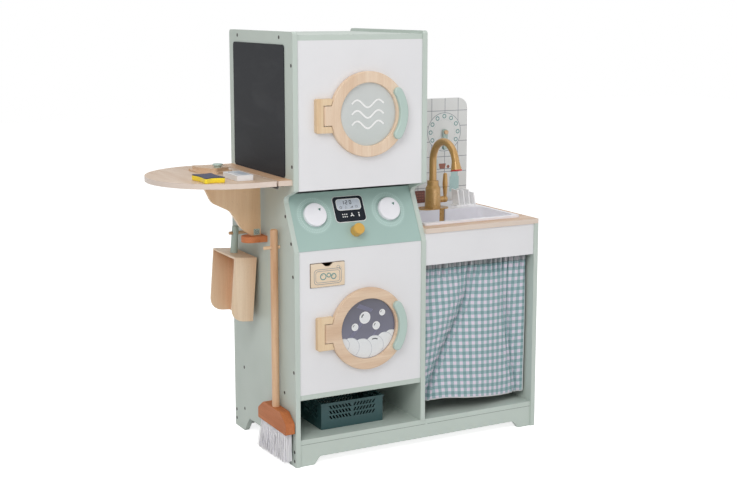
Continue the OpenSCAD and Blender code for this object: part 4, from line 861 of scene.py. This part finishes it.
# %% The dryer's waves
WINDOW_Y = -1.5
DOOR_X, DRYER_Z, WASHER_Z = 186.5, 813, 312
WAVE_STEPS, WAVE_L, WAVE_H, WAVE_GAP, WAVE_TURNS = 60, 82, 8.5, 24, 1.5
WAVE_LINE = 4.0
crest = [(-WAVE_L / 2 + WAVE_L * k / WAVE_STEPS, WAVE_H * math.sin(2 * math.pi * WAVE_TURNS * k / WAVE_STEPS))
         for k in range(WAVE_STEPS + 1)]
waves = [face for middle in (WAVE_GAP, 0, -WAVE_GAP)
         for face in stroke([(u, middle + v) for u, v in crest], WAVE_LINE)]
film("dryer_waves", waves, plane(at(DOOR_X, WINDOW_Y, DRYER_Z)), "dryer_door", white_ink, "smoke_window")

# %% The washer's foam
PRINT_R = 71
HEAP = [(-46, -42, 24), (-16, -50, 27), (17, -44, 25), (44, -36, 22), (62, -30, 20), (-64, -34, 16)]
FOAM_FROM, FOAM_COLUMNS, LEAST = -70.5, 141, 0.05


def foam_top(u):
    return max([v + math.sqrt(r * r - (u - c) ** 2) for c, v, r in HEAP if abs(u - c) < r], default=-PRINT_R)


def foam_column(a, b):
    """The strip of foam between two upright lines, or nothing where the rim hides it."""
    rims = [math.sqrt(max(0, PRINT_R ** 2 - u * u)) for u in (a, b)]
    tops = [min(foam_top(u), rim) for u, rim in zip((a, b), rims)]
    if all(top > LEAST - rim for top, rim in zip(tops, rims)):
        return [[(a, -rims[0]), (b, -rims[1]), (b, tops[1]), (a, tops[0])]]
    return []


foam_faces = [face for k in range(FOAM_COLUMNS) for face in foam_column(FOAM_FROM + k, FOAM_FROM + k + 1)]
foam_lines = []
for c, v, r in HEAP:
    inside = [(p, q) for p, q in arc(c, v, r - 0.6, -70, 100, 40) if math.hypot(p, q) < PRINT_R - 1]
    foam_lines += stroke(inside, 1.0) if len(inside) > 2 else []
print("foam of", len(foam_faces), "columns")

# %% The washer's print
streaks = [[(-52, -20), (-10, 28), (-4, 22), (-46, -26)], [(2, -32), (30, 6), (33, 3), (6, -35)],
           [(-30, 52), (-22, 60), (14, 44), (8, 38)]]
floating = [(-34, 6, 8), (-8, 26, 13.5), (22, 4, 9), (38, 34, 7)]
rims = [face for u, v, r in floating for face in ring(u, v, r, 1.6)]
glints = [face for u, v, r in floating for face in stroke(arc(u, v, r * 0.62, 110, 175, 10), r * 0.2)]
glints += stroke(arc(17, -44, 17, 60, 110, 10), 2.6)
printed(plane(at(DOOR_X, WINDOW_Y, WASHER_Z)), "washer_door", "drum_window",
        ("washer_streaks", streaks, streak_ink, 0.06),
        ("washer_foam", foam_faces, foam_ink, 0.1),
        ("washer_foam_lines", foam_lines, shadow_ink, 0.2),
        ("washer_bubbles", [circle(u, v, r) for u, v, r in floating], foam_ink, 0.1),
        ("washer_bubble_rims", rims, white_ink, 0.2),
        ("washer_bubble_glints", glints, dark_ink, 0.3))

# %% [markdown]
# ## The clock and the backsplash's small pictures
# A plain dial: a thin outline, twelve ring marks and a dotted inner circle. It hides the tile joints
# behind it, as a print on top of a print does. The wall also gets a few plain vessels on a thin shelf.

# %% The clock's dial
CLOCK_X, CLOCK_Z, SPLASH_Y = 596, 724.5, 336
CLOCK_R, CLOCK_STEPS = 51, 72
dial_sheet = plane(at(CLOCK_X, SPLASH_Y, CLOCK_Z))
dial_white = ink("dial_white", srgb(228, 229, 228), worn=0.01)
printed(dial_sheet, "cabinet", "tiled_board",
        ("clock_ground", [circle(0, 0, CLOCK_R, CLOCK_STEPS)], dial_white, 0.08),
        ("clock_outline", ring(0, 0, CLOCK_R, 1.4, CLOCK_STEPS), joint_ink))
grow("clock_marks", rings, {"Count": 12, "Radius": 42.0, "Ring": 4.8, "Width": 2.1, "Finish": teal_ink},
     dial_sheet, "cabinet")
grow("clock_dots", ticks, {"Count": 48, "Radius": 33.0, "Length": 0.9, "Width": 0.9, "Finish": joint_ink},
     dial_sheet, "cabinet")

# %% The wall's vessels
pale_glass = ink("pale_glass_ink", srgb(176, 205, 204))
vessels = [box_patch(614, 563, 643, 604), box_patch(618, 604, 639, 619), box_patch(566, 626, 576, 652)]
pots = [[(583, 626), (599, 626), (602, 640), (580, 640)], circle(609, 631, 4.6, 20)]
weave = [box_patch(504 + 8 * k, 541 + 7 * row, 510 + 8 * k, 544.5 + 7 * row)
         for k in range(4) for row in range(4)]
printed(plane(at(0, SPLASH_Y, 0)), "cabinet", "tiled_board",
        ("wall_shelves", [box_patch(560, 624.5, 652, 626)], joint_ink),
        ("wall_vessels", vessels, pale_glass),
        ("wall_pots", pots, clay_ink),
        ("wall_basket", [rounded_box(500, 537, 538, 571, 3)], brown_ink),
        ("wall_basket_weave", weave, clay_ink, 0.2))

# %% [markdown]
# ## The packet's print
# Marks too small for their own CAD: a grey field, a dark dash and four short lines on the packet's top.

# %% The packet's print
packet_top = plane(spot("soap_packet", z=1), up=(0, 1, 0))
printed(packet_top, "packet", "packet_board",
        ("packet_field", [rounded_box(-4, -30, 17, 32, 3)], screen_ink),
        ("packet_dash", [rounded_box(-15, 22, -3, 27, 2)], dark_ink, 0.2),
        ("packet_lines", [box_patch(-15, -28 + 8 * k, -8, -25.5 + 8 * k) for k in range(4)], shadow_ink))

# %% [markdown]
# ## Marks that joints leave, and painted shade in gaps
# A deep notch and the gap round the drawer look dark because little light gets in, so dark films paint
# that shade on them, as painted shadow. A joint between two boards shows as a fine dark line. The
# bracket's nut sits on a small mint plate. All are thin enough to be films.

# %% Joint marks and painted shade
BOARD_FACE, DRAWER_GAP = 3, 0.7
NOTCH_U0, NOTCH_U1, NOTCH_V = 71, 93.5, 23
SEAM_LOW, SEAM_HIGH = 51.5, 52.4
SEAM_RUNS = ((12.5, 347), (353, 655.5))
painted_shade_ink = ink("painted_shade_ink", srgb(62, 42, 30), 0.8)
seam_ink = ink("seam_ink", srgb(104, 118, 112), 0.6)
# Painted shade: dark films over the door notches and round the drawer, where little light gets in.
for door, height in (("dryer", DRYER_Z), ("washer", WASHER_Z)):
    film(door + "_notch_painted_shade", [box_patch(NOTCH_U0, -NOTCH_V, NOTCH_U1, NOTCH_V)],
         plane(at(0, BOARD_FACE, height)), "cabinet", painted_shade_ink, "white_board", lift=0.1)
seams = [box_patch(first, SEAM_LOW, last, SEAM_HIGH) for first, last in SEAM_RUNS]
film("floor_seam", seams, plane(at(0, BOARD_FACE, 0)), "cabinet", seam_ink, "mint_board", lift=0.1)
drawer_low, drawer_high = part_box("drawer_front")
half_u, half_v = ((drawer_high[k] - drawer_low[k]) / 2 / MM + DRAWER_GAP for k in (0, 2))
drawer_middle = spot("drawer_front")
drawer_middle.y = at(0, BOARD_FACE, 0).y
film("drawer_gap", outline(rounded_box(-half_u, -half_v, half_u, half_v, 1), 1.3), plane(drawer_middle),
     "cabinet", painted_shade_ink, "white_board", lift=0.1)

# %% The bracket's nut plate
NUT_PLACE = (-20.6, 166, 531.8)
nut_marks = ring(0, 0, 4.6, 0.9, 24) + stroke([(-2.6, -1.2), (2.6, 1.2)], 1.3)
nut_marks += [circle(5.9, -5.4, 0.8, 10), circle(-5.9, 5.4, 0.8, 10)]
printed(plane(at(*NUT_PLACE)), "bracket", "plywood",
        ("bracket_plate", [rounded_box(-7.7, -7.2, 7.7, 7.2, 1.5)], handle_mint),
        ("bracket_nut_marks", nut_marks, dark_ink, 0.3))

# %% [markdown]
# ## The gingham curtain
# A gathered curtain is one flat piece of cloth, pushed together on its rod. I shape it by a rule, not by
# simulation, because the folds in the photograph have to fall where they do: tight puckers that fade under
# the rod, and two creases that wander to the sides on their way down, with a soft bulge between them. Each
# row of the mesh is then measured along its own length, and the check pattern is laid out by those
# measures, so it narrows in the folds exactly as woven checks do.

# %% The curtain's measures
BAY_LEFT, BAY_RIGHT = 353, 650
ROD_Y, ROD_Z = 27, 463
POCKET_R, POCKET_DROP, POCKET_FROM, POCKET_TURN = 7.5, 9.5, 250, 325
HEM_Z, NEAR_LIFT, FAR_DROP = 96, 4, 13
FOLD_D, PINCH_D, RIPPLE_D, SWAY = 9, 12, 1.2, 1.6
PUCKERS, PUCKER_D, PUCKER_FROM, PUCKER_DEPTH = 17, 3.4, 0.066, 0.085
GATHERS, GATHER_D = 11, 1.8
PLEATS, PLEAT_D = 27, 3.0
CALM_FROM, CALM_WIDTH, CALM = 0.93, 0.07, 0.75
NEAR_WIDTHS, BESIDE_WIDTHS, FAR_WIDTHS = (0.045, 0.020), (0.018, 0.014), (0.045, 0.022)
NEAR_PLEATS, FAR_PLEATS = (0.14, 0.05), (0.08, 0.06)
BESIDE = 0.06
COLUMNS, POCKET_ROWS, ROWS = 306, 14, 86
NEAR_CREASE = ((0.0, 0.44), (0.17, 0.44), (0.29, 0.42), (0.39, 0.38), (0.49, 0.32), (0.60, 0.25),
               (0.72, 0.18), (0.83, 0.12), (1.0, 0.04))
FAR_CREASE = ((0.0, 0.81), (0.40, 0.83), (0.62, 0.86), (0.78, 0.89), (0.87, 0.92), (1.0, 0.95))
print("a grid of", COLUMNS, "by", ROWS)

# %% [markdown]
# The shape is a sum of simple waves. `u` runs across the cloth and `w` down it, both from 0 to 1, and
# `pinch` is a soft bump that keeps a wave near the place where it belongs. It has one width to its left
# and another to its right, because a real crease is steeper on one side.


# %% The curtain's shape
def wave(turns, bend=0.0):
    return math.sin(2 * math.pi * turns + bend)


def crossing(crease, w):
    """How far across the cloth a crease has wandered, at w down."""
    for (w0, u0), (w1, u1) in zip(crease, crease[1:]):
        if w <= w1:
            return u0 + (u1 - u0) * (w - w0) / (w1 - w0)
    return crease[-1][1]


def pinch(distance, left, right):
    return math.exp(-(distance / (left if distance < 0 else right)) ** 2)


def fold(u, w):
    """How far behind the rod the cloth hangs, at u across and w down."""
    near, far = crossing(NEAR_CREASE, w), crossing(FAR_CREASE, w)
    broad = FOLD_D * w ** 0.7 * math.cos(2 * math.pi * (u - near) / (far - near))
    creases = (pinch(u - near, *NEAR_WIDTHS) + 0.3 * pinch(u - near - BESIDE, *BESIDE_WIDTHS)
               + 0.4 * pinch(u - far, *FAR_WIDTHS))
    pleats = (0.7 * wave(PLEATS * (u - far)) * pinch(u - far, *FAR_PLEATS)
              + 0.8 * wave(PLEATS * (u - near)) * pinch(u - near, *NEAR_PLEATS))
    ripple = RIPPLE_D * w * (1 - w) * wave(5.5 * u + 0.8 * w, 2.0 * math.sin(4 * u))
    hanging = (broad + PINCH_D * min(1.0, 0.25 + 2.2 * w) * creases
               + PLEAT_D * min(1.0, 3 * w) * pleats + ripple)
    calm = 1 - CALM * max(0.0, u - CALM_FROM) / CALM_WIDTH
    fading = pinch(max(0.0, w - PUCKER_FROM), PUCKER_DEPTH, PUCKER_DEPTH)
    puckers = wave(PUCKERS * u, 1.3 * math.sin(9 * u)) + 0.5 * wave(2.3 * PUCKERS * u)
    gathers = (1 - w) ** 4 * wave(GATHERS * u, 2.1 * math.sin(7 * u))
    return hanging * calm + PUCKER_D * fading * puckers + GATHER_D * gathers


print("creases start at", crossing(NEAR_CREASE, 0), "and", crossing(FAR_CREASE, 0), "of the width")

# %% [markdown]
# The first rows of the mesh go round the rod, as a sewn pocket does. The others hang from it, and the hem
# is a little higher under the near crease and lower in the far corner.

# %% The cloth's points
EASE_W = 0.03


def cloth_point(u, row):
    """Where a point of the cloth is: u across, and in a given row of the mesh."""
    x = BAY_LEFT + (BAY_RIGHT - BAY_LEFT) * u
    if row < POCKET_ROWS:
        angle = math.radians(POCKET_FROM - POCKET_TURN * row / POCKET_ROWS)
        r = POCKET_R + 0.5 * wave(PUCKERS * u, row)
        return x, ROD_Y - r * math.cos(angle), ROD_Z + r * math.sin(angle)
    w = (row - POCKET_ROWS) / (ROWS - POCKET_ROWS)
    top = ROD_Z - POCKET_DROP
    hem = HEM_Z + NEAR_LIFT * pinch(u - 0.22, 0.15, 0.15) - FAR_DROP * pinch(u - 0.85, 0.3, 0.3)
    ease = min(1.0, w / EASE_W)
    sway = SWAY * wave(1.5 * u, 2.6 * w) * w * math.sin(math.pi * u)
    return x + sway, ROD_Y + ease * fold(u, w), top - (top - hem) * w


def spacing(line):
    """The way along a line to each of its points."""
    run = [0.0]
    for a, b in zip(line, line[1:]):
        run.append(run[-1] + (Vector(b) - Vector(a)).length)
    return run


grid = [[cloth_point(i / COLUMNS, j) for i in range(COLUMNS + 1)] for j in range(ROWS + 1)]
row_runs = [spacing(row) for row in grid]
cloth_width = sum(run[-1] for run in row_runs) / len(row_runs)
drops = [spacing([grid[j][i] for j in range(ROWS + 1)]) for i in range(0, COLUMNS + 1, 9)]
down_run = [sum(drop[j] for drop in drops) / len(drops) for j in range(ROWS + 1)]
cloth_length = down_run[-1]
print("cloth cut", round(cloth_width), "x", round(cloth_length), "mm")

# %% The curtain's mesh
curtain_mesh = bpy.data.meshes.new("gingham_curtain")
wide = COLUMNS + 1
curtain_mesh.from_pydata([at(*p) for row in grid for p in row], [],
                         [(j * wide + i, (j + 1) * wide + i, (j + 1) * wide + i + 1, j * wide + i + 1)
                          for j in range(ROWS) for i in range(COLUMNS)])
cut = curtain_mesh.uv_layers.new(name="cut")
for loop in curtain_mesh.loops:
    j, i = divmod(loop.vertex_index, wide)
    share = row_runs[j][i] / row_runs[j][-1]
    cut.data[loop.index].uv = (share * cloth_width * MM, down_run[j] * MM)
for polygon in curtain_mesh.polygons:
    polygon.use_smooth = True
print("curtain", len(curtain_mesh.polygons), "quads")

# %% [markdown]
# ### Woven checks
# Gingham is two colours of yarn in both directions: where both are white the square is white, where both
# are dyed it is darkest, and where they cross it is halfway. Adding the two stripe masks gives all three
# tones. A fine weave lifts and lowers the surface, one thread in 0.6 mm, and a little sheen stands for the
# cotton's fuzz. Above the seam the colour is painted shade: dark and light streaks for the shadow under
# the apron and between the tight puckers hide the checks there. Deep in the folds the colour is painted a
# little darker too, as painted shade.


# %% The curtain's cotton
CHECK = 0.0172
HEM_BAND, SIDE_BAND = 0.0026, 0.00182
SEAM_Z, STITCH = 428.5, 0.0007
WOBBLE = 0.0012
THREADS = 500.0
FOLD_SHADE_REACH = 0.014
HEM_WHITE, STITCH_GREY, FOLD_SHADE_BLUE = srgb(240, 240, 242), srgb(84, 96, 98), srgb(120, 140, 146)


def gingham(name, white, single, dyed, width, length, seam):
    material, tree = start(name)
    cut_place = add(tree, "UVMap", uv_map="cut").outputs[0]
    across, down = axis_of(tree, cut_place, 0), axis_of(tree, cut_place, 1)
    drift = math_of(tree, "SUBTRACT", noise(tree, cut_place, 60, 2), 0.5)
    wobble = math_of(tree, "MULTIPLY", drift, WOBBLE)

    def stripes(value):
        cycle = math_of(tree, "FRACT", math_of(tree, "DIVIDE", math_of(tree, "ADD", value, wobble), CHECK))
        return math_of(tree, "LESS_THAN", cycle, 0.5)

    def apart(value, middle):
        return math_of(tree, "ABSOLUTE", math_of(tree, "SUBTRACT", value, middle))

    both = math_of(tree, "ADD", stripes(across), stripes(down))
    yarns = math_of(tree, "MULTIPLY", both, 0.5)
    tone = ramp(tree, yarns, [(0.2, white), (0.5, single), (0.8, dyed)])
    for pull in ((1, 0.04, 1), (0.04, 1, 1)):
        streak = noise(tree, stretched(tree, cut_place, pull), 1500, 2)
        tone = mix(tree, 0.35, tone, ramp(tree, streak, [(0.25, 0.82), (0.75, 1.0)]), "MULTIPLY")
    near_hem = math_of(tree, "GREATER_THAN", down, length - HEM_BAND)
    near_side = math_of(tree, "GREATER_THAN", apart(across, width / 2), width / 2 - SIDE_BAND)
    tone = mix(tree, math_of(tree, "MAXIMUM", near_hem, near_side), tone, HEM_WHITE)
    # Painted shade over the gathered header above the seam: dark and light streaks for the apron's shadow and
    # the puckers' shade.
    header_shade_mask = remap(tree, down, seam - 0.0008, seam + 0.0012, 1.0, 0.0)
    header_shade_streaks = noise(tree, stretched(tree, cut_place, (1, 0.12, 1)), 420, 2)
    painted_header_shade = ramp(tree, header_shade_streaks, [(0.36, 0.2), (0.66, 0.5)])
    tone = mix(tree, math_of(tree, "MULTIPLY", header_shade_mask, 0.72), tone, painted_header_shade)
    stitch = math_of(tree, "LESS_THAN", apart(down, seam), STITCH)
    tone = mix(tree, math_of(tree, "MULTIPLY", stitch, 0.6), tone, STITCH_GREY)
    # Painted shade: deep in the folds the colour darkens towards blue-grey.
    crease = remap(tree, open_air(tree, FOLD_SHADE_REACH), 0.45, 0.92, 0.4, 0.0)
    tone = mix(tree, crease, tone, FOLD_SHADE_BLUE, "MULTIPLY")
    threads = {"Vector": cut_place, "Scale": THREADS}
    warp, weft = (add(tree, "TexWave", threads, bands_direction=way).outputs[1] for way in ("X", "Y"))
    weave = math_of(tree, "MAXIMUM", warp, weft)
    principled(tree, {"Base Color": tone, "Roughness": 0.9, "Sheen Weight": 0.25, "Sheen Roughness": 0.5,
                      "Normal": bump(tree, weave, 0.00012, 0.6)})
    return material


print("checks of", CHECK * 1000, "mm")

# %% Hang the curtain
CLOTH_THICK = 0.9
seam_row = min(range(POCKET_ROWS, ROWS + 1), key=lambda j: abs(grid[j][0][2] - SEAM_Z))
cotton = gingham("gingham_cotton", srgb(230, 219, 234), srgb(166, 190, 197), srgb(128, 162, 166),
                 cloth_width * MM, cloth_length * MM, down_run[seam_row] * MM)
curtain = piece("gingham_curtain", curtain_mesh, "cabinet", cotton)
thick = curtain.modifiers.new("cloth", "SOLIDIFY")
thick.thickness, thick.offset = CLOTH_THICK * MM, 0.0
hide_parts("curtain")
print("curtain hung on its rod")

# %% [markdown]
# ## The broom's bristles
# A broom is a thousand strands set in tufts. The tree makes a grid of points under the head, draws them
# together into tufts by a sine along the head, and hangs a strand on each. Use has pushed the strands
# outwards at the far end, so there they lean further out.

# %% The bristle rule
TUFT_PULL, NEAR_END, SIDE_LEAN = -0.95, 70.0, -0.0055
bristle, given, end = rule("bristle_field", Width=16.0, Length=137.0, Rows=11, Columns=84, Strand=70.0,
                           Radius=0.62, Tuft=6.85, Splay=0.00125, Seed=7, Finish=None)


def scattered(base, low, high):
    """A vector that varies from strand to strand: base, plus a random part between two corners."""
    part = step(bristle, "FunctionNodeRandomValue", {0: low, 1: high, "Seed": given["Seed"]},
                data_type="FLOAT_VECTOR").outputs[0]
    return add(bristle, "VectorMath", {0: base, 1: part}, operation="ADD").outputs[0]


roots = geo(bristle, "MeshGrid", {"Size X": given["Width"], "Size Y": given["Length"],
                                  "Vertices X": given["Rows"], "Vertices Y": given["Columns"]})
root_x, root_y = (axis_of(bristle, geo(bristle, "InputPosition"), axis) for axis in (0, 1))
tuft_turn = math_of(bristle, "MULTIPLY", math_of(bristle, "DIVIDE", root_y, given["Tuft"]), 2 * math.pi)
draw = math_of(bristle, "MULTIPLY", math_of(bristle, "SINE", tuft_turn), TUFT_PULL)
tufted = scattered(vector_of(bristle, y=draw), (-0.5, -0.4, 0.0), (0.5, 0.4, 0.0))
moved = geo(bristle, "SetPosition", {"Geometry": roots, "Offset": tufted})
print("tufted roots in", bristle.name)

# %% The strands of the rule
straight_down = vector_of(bristle, z=math_of(bristle, "MULTIPLY", given["Strand"], -1.0))
spine = geo(bristle, "CurvePrimitiveLine", {"End": straight_down})
spine = geo(bristle, "ResampleCurve", {"Curve": spine, "Count": 4})
round_bar = geo(bristle, "CurvePrimitiveCircle", {"Resolution": 4, "Radius": given["Radius"]})
strand = geo(bristle, "CurveToMesh", {0: spine, "Profile Curve": round_bar, "Fill Caps": True})
splayed = math_of(bristle, "MULTIPLY", math_of(bristle, "ADD", root_y, NEAR_END), given["Splay"])
sideways = math_of(bristle, "MULTIPLY", root_x, SIDE_LEAN)
lean = scattered(vector_of(bristle, x=splayed, y=sideways), (-0.014, -0.02, 0.0), (0.014, 0.02, 3.1))
size = step(bristle, "FunctionNodeRandomValue", {2: 0.965, 3: 1.0, "Seed": given["Seed"]},
            data_type="FLOAT").outputs[1]
planted = geo(bristle, "InstanceOnPoints", {"Points": moved, "Instance": strand, "Rotation": lean,
                                            "Scale": size})
real = geo(bristle, "RealizeInstances", {0: planted})
coloured = geo(bristle, "SetMaterial", {"Geometry": real, "Material": given["Finish"]})
bristle.links.new(coloured, end[0])
print("rule:", bristle.name)


# %% The bristles
def strands(name, pale, deep):
    material, tree = start(name)
    each = noise(tree, stretched(tree, here(tree), (1, 1, 0.02)), 900, 2)
    tone = ramp(tree, each, [(0.35, deep), (0.65, pale)])
    principled(tree, {"Base Color": tone, "Roughness": 0.55, "Sheen Weight": 0.35,
                      "Normal": bump(tree, each, 0.0002)})
    return material


bristle_finish = strands("bristle_strands", srgb(255, 255, 255), srgb(244, 243, 252))
BROOM_X, BROOM_Y, HEAD_LOW = -13.5, 82, 82
broom_sheet = plane(at(BROOM_X, BROOM_Y, HEAD_LOW), up=(0, 1, 0))
bristles = grow("broom_strands", bristle, {"Finish": bristle_finish}, broom_sheet, "broom")
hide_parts("broom_bristles")
print("strands reach down to", round(min(v.co.z for v in bristles.data.vertices) * 1000, 1), "mm")

# %% [markdown]
# ## The sponge
# Open foam with a dark scouring layer on top, cut with a wavy edge so that a hand can hold it. Both layers
# are lofted from the same outline. The holes are far too many to model, so a cell pattern lowers the
# surface and darkens it in the pits as painted shade, which is how foam reads from arm's length.


# %% The sponge's layers
SPONGE_L, SPONGE_W, FOAM_T, SCOUR_T = 80, 48, 11, 2
WAVE_DEPTH, SQUARENESS, SPONGE_FILL, OUTLINE_POINTS = 0.14, 0.45, 0.99, 96


def sponge_outline(inset):
    """A rounded box with a wavy side, drawn a little inside the sponge's full size."""
    line = []
    for k in range(OUTLINE_POINTS):
        angle = 2 * math.pi * k / OUTLINE_POINTS
        reach = SPONGE_FILL * (1 - WAVE_DEPTH * math.cos(4 * angle))
        line.append(tuple(math.copysign(abs(part) ** SQUARENESS, part) * (size / 2 - inset) * reach
                          for part, size in ((math.cos(angle), SPONGE_W), (math.sin(angle), SPONGE_L))))
    return line


def loft(name, levels, sheet):
    """A closed solid through a stack of outlines, each given as (height, points)."""
    mesh, made = bpy.data.meshes.new(name), bmesh.new()
    loops = [[made.verts.new((u, v, height)) for u, v in line] for height, line in levels]
    made.faces.new(list(reversed(loops[0])))
    made.faces.new(loops[-1])
    for lower, upper in zip(loops, loops[1:]):
        for k in range(len(lower)):
            n = (k + 1) % len(lower)
            made.faces.new((lower[k], lower[n], upper[n], upper[k]))
    made.transform(sheet)
    bmesh.ops.recalc_face_normals(made, faces=made.faces)
    made.to_mesh(mesh)
    made.free()
    for polygon in mesh.polygons:
        polygon.use_smooth = len(polygon.vertices) == 4
    return mesh


print("sponge outline of", len(sponge_outline(0)), "points")

# %% [markdown]
# Foam and scouring fleece differ only in the size of their cells, their colour and their roughness, so one
# recipe serves both.


# %% The sponge's finish
def porous(name, pale, deep, cell, depth, rough):
    material, tree = start(name)
    place = here(tree)
    cells = add(tree, "TexVoronoi", {"Vector": place, "Scale": cell, "Randomness": 1.0},
                feature="F1").outputs[0]
    crumbs = noise(tree, place, cell * 1.7, 3)
    pits = math_of(tree, "MULTIPLY_ADD", crumbs, 0.5, cells)
    # Painted shade: the pits take the deep colour.
    tone = ramp(tree, pits, [(0.35, deep), (0.62, pale)])
    principled(tree, {"Base Color": tone, "Roughness": rough, "Sheen Weight": 0.15,
                      "Normal": bump(tree, pits, depth, 0.7)})
    return material


print("porous finish ready")

# %% The sponge
SPONGE_TURN = math.radians(2)
sponge_sheet = plane(spot("sponge", z=0), across=(math.cos(SPONGE_TURN), math.sin(SPONGE_TURN), 0),
                     up=(-math.sin(SPONGE_TURN), math.cos(SPONGE_TURN), 0))
foam_levels = [(h, sponge_outline(inset)) for h, inset in
               ((0.0, 1.0), (0.6, 0.3), (2.5, 0.0), (5.5, -0.3), (8.0, 0.0), (10.6, 0.3), (FOAM_T, 0.8))]
scour_levels = [(FOAM_T + h, sponge_outline(inset)) for h, inset in
                ((-0.1, 0.5), (0.3, 0.2), (1.4, 0.2), (1.8, 0.7), (SCOUR_T, 1.4))]
foam_finish = porous("yellow_foam", srgb(252, 224, 56), srgb(226, 184, 30), 620, 0.0005, 0.85)
scour_finish = porous("navy_scour", srgb(56, 61, 90), srgb(24, 28, 52), 900, 0.0004, 0.9)
foam, scour = (piece(name, loft(name, levels, sponge_sheet), "sponge_block", finish)
               for name, levels, finish in (("sponge_foam", foam_levels, foam_finish),
                                            ("sponge_scour", scour_levels, scour_finish)))
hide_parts("sponge")
print("sponge", len(foam.data.polygons) + len(scour.data.polygons), "faces")

# %% [markdown]
# ## Floor, backdrop and light
# The photograph is a cut-out on white. A wide pale floor keeps the object's own soft shadow, and where the
# camera looks at bare floor or sky it sees white. The lamps are large and close to even, with the left
# front a little stronger, so that the side boards turn gently darker than the fronts. A low, wide lamp in
# front reaches under the shelf and behind the curtain's hem.


# %% The floor
GLOW = 0.8
REACH, FLOOR_DROP = 9.0, 0.0005


def eye_ray(tree):
    """1 for rays that the camera sees: directly, mirrored in gloss, or through glass."""
    path = add(tree, "LightPath")
    mirrored = math_of(tree, "MAXIMUM", path.outputs["Is Glossy Ray"], path.outputs["Is Transmission Ray"])
    return math_of(tree, "MAXIMUM", path.outputs["Is Camera Ray"], mirrored)


def bare_floor(name):
    material, tree = start(name)
    seen = eye_ray(tree)
    slow = noise(tree, here(tree), 2.0, 2)
    matt = add(tree, "BsdfDiffuse", {"Color": ramp(tree, slow, [(0.3, 0.80), (0.7, 0.82)])})
    strength = math_of(tree, "MULTIPLY", seen, GLOW)
    glow = add(tree, "Emission", {"Color": (1, 1, 1, 1), "Strength": strength})
    both = add(tree, "AddShader", {0: matt.outputs[0], 1: glow.outputs[0]})
    add(tree, "OutputMaterial", {"Surface": both.outputs[0]})
    return material


floor_mesh = bpy.data.meshes.new("studio_floor")
corners = [(-REACH, -REACH, 0), (REACH, -REACH, 0), (REACH, REACH, 0), (-REACH, REACH, 0)]
floor_mesh.from_pydata(corners, [], [(0, 1, 2, 3)])
floor = bpy.data.objects.new("studio_floor", floor_mesh)
floor.location.z = -FLOOR_DROP
floor_mesh.materials.append(bare_floor("studio_floor"))
bpy.context.scene.collection.objects.link(floor)
print("floor", 2 * REACH, "m wide")

# %% The world
SKY_TONE, SKY_STRENGTH = (1.0, 0.995, 0.985, 1), 0.42
world = bpy.data.worlds.new("studio")
bpy.context.scene.world = world
world.use_nodes = True
world.node_tree.nodes.clear()
sky = world.node_tree
plain = add(sky, "Background", {"Color": SKY_TONE, "Strength": SKY_STRENGTH})
bright = add(sky, "Background", {"Color": (1, 1, 1, 1), "Strength": 1.0})
chosen = add(sky, "MixShader", {0: eye_ray(sky), 1: plain.outputs[0], 2: bright.outputs[0]})
add(sky, "OutputWorld", {"Surface": chosen.outputs[0]})
print("sky strength", SKY_STRENGTH)

# %% [markdown]
# Each lamp is a large rectangle aimed at the toy: its place, its target and its size are in metres, its
# power in watts. Large lamps give soft shadows, and the key and fill are a trace warm and cool.


# %% The lamps
def lamp(name, place, target, size, power, colour=(1, 1, 1)):
    data = bpy.data.lights.new(name, "AREA")
    data.shape, data.size, data.size_y = "RECTANGLE", size[0], size[1]
    data.energy, data.color = power, colour
    made = bpy.data.objects.new(name, data)
    made.location = Vector(place)
    made.rotation_euler = (Vector(target) - Vector(place)).to_track_quat("-Z", "Y").to_euler()
    bpy.context.scene.collection.objects.link(made)


lamp("key", (-2.1, -2.3, 2.6), (0, 0, 0.55), (1.8, 1.8), 52, (1.0, 0.99, 0.975))
lamp("fill", (2.4, -2.6, 1.4), (0, 0, 0.5), (2.2, 2.2), 11, (0.97, 0.985, 1.0))
lamp("top", (0.1, -0.3, 3.2), (0, 0, 0.3), (2.4, 2.4), 19)
lamp("low", (0.5, -3.4, 0.42), (0, 0, 0.3), (2.0, 0.5), 8)
bpy.context.scene.view_settings.view_transform = "Standard"
print("lamps:", [light.name for light in bpy.data.lights])
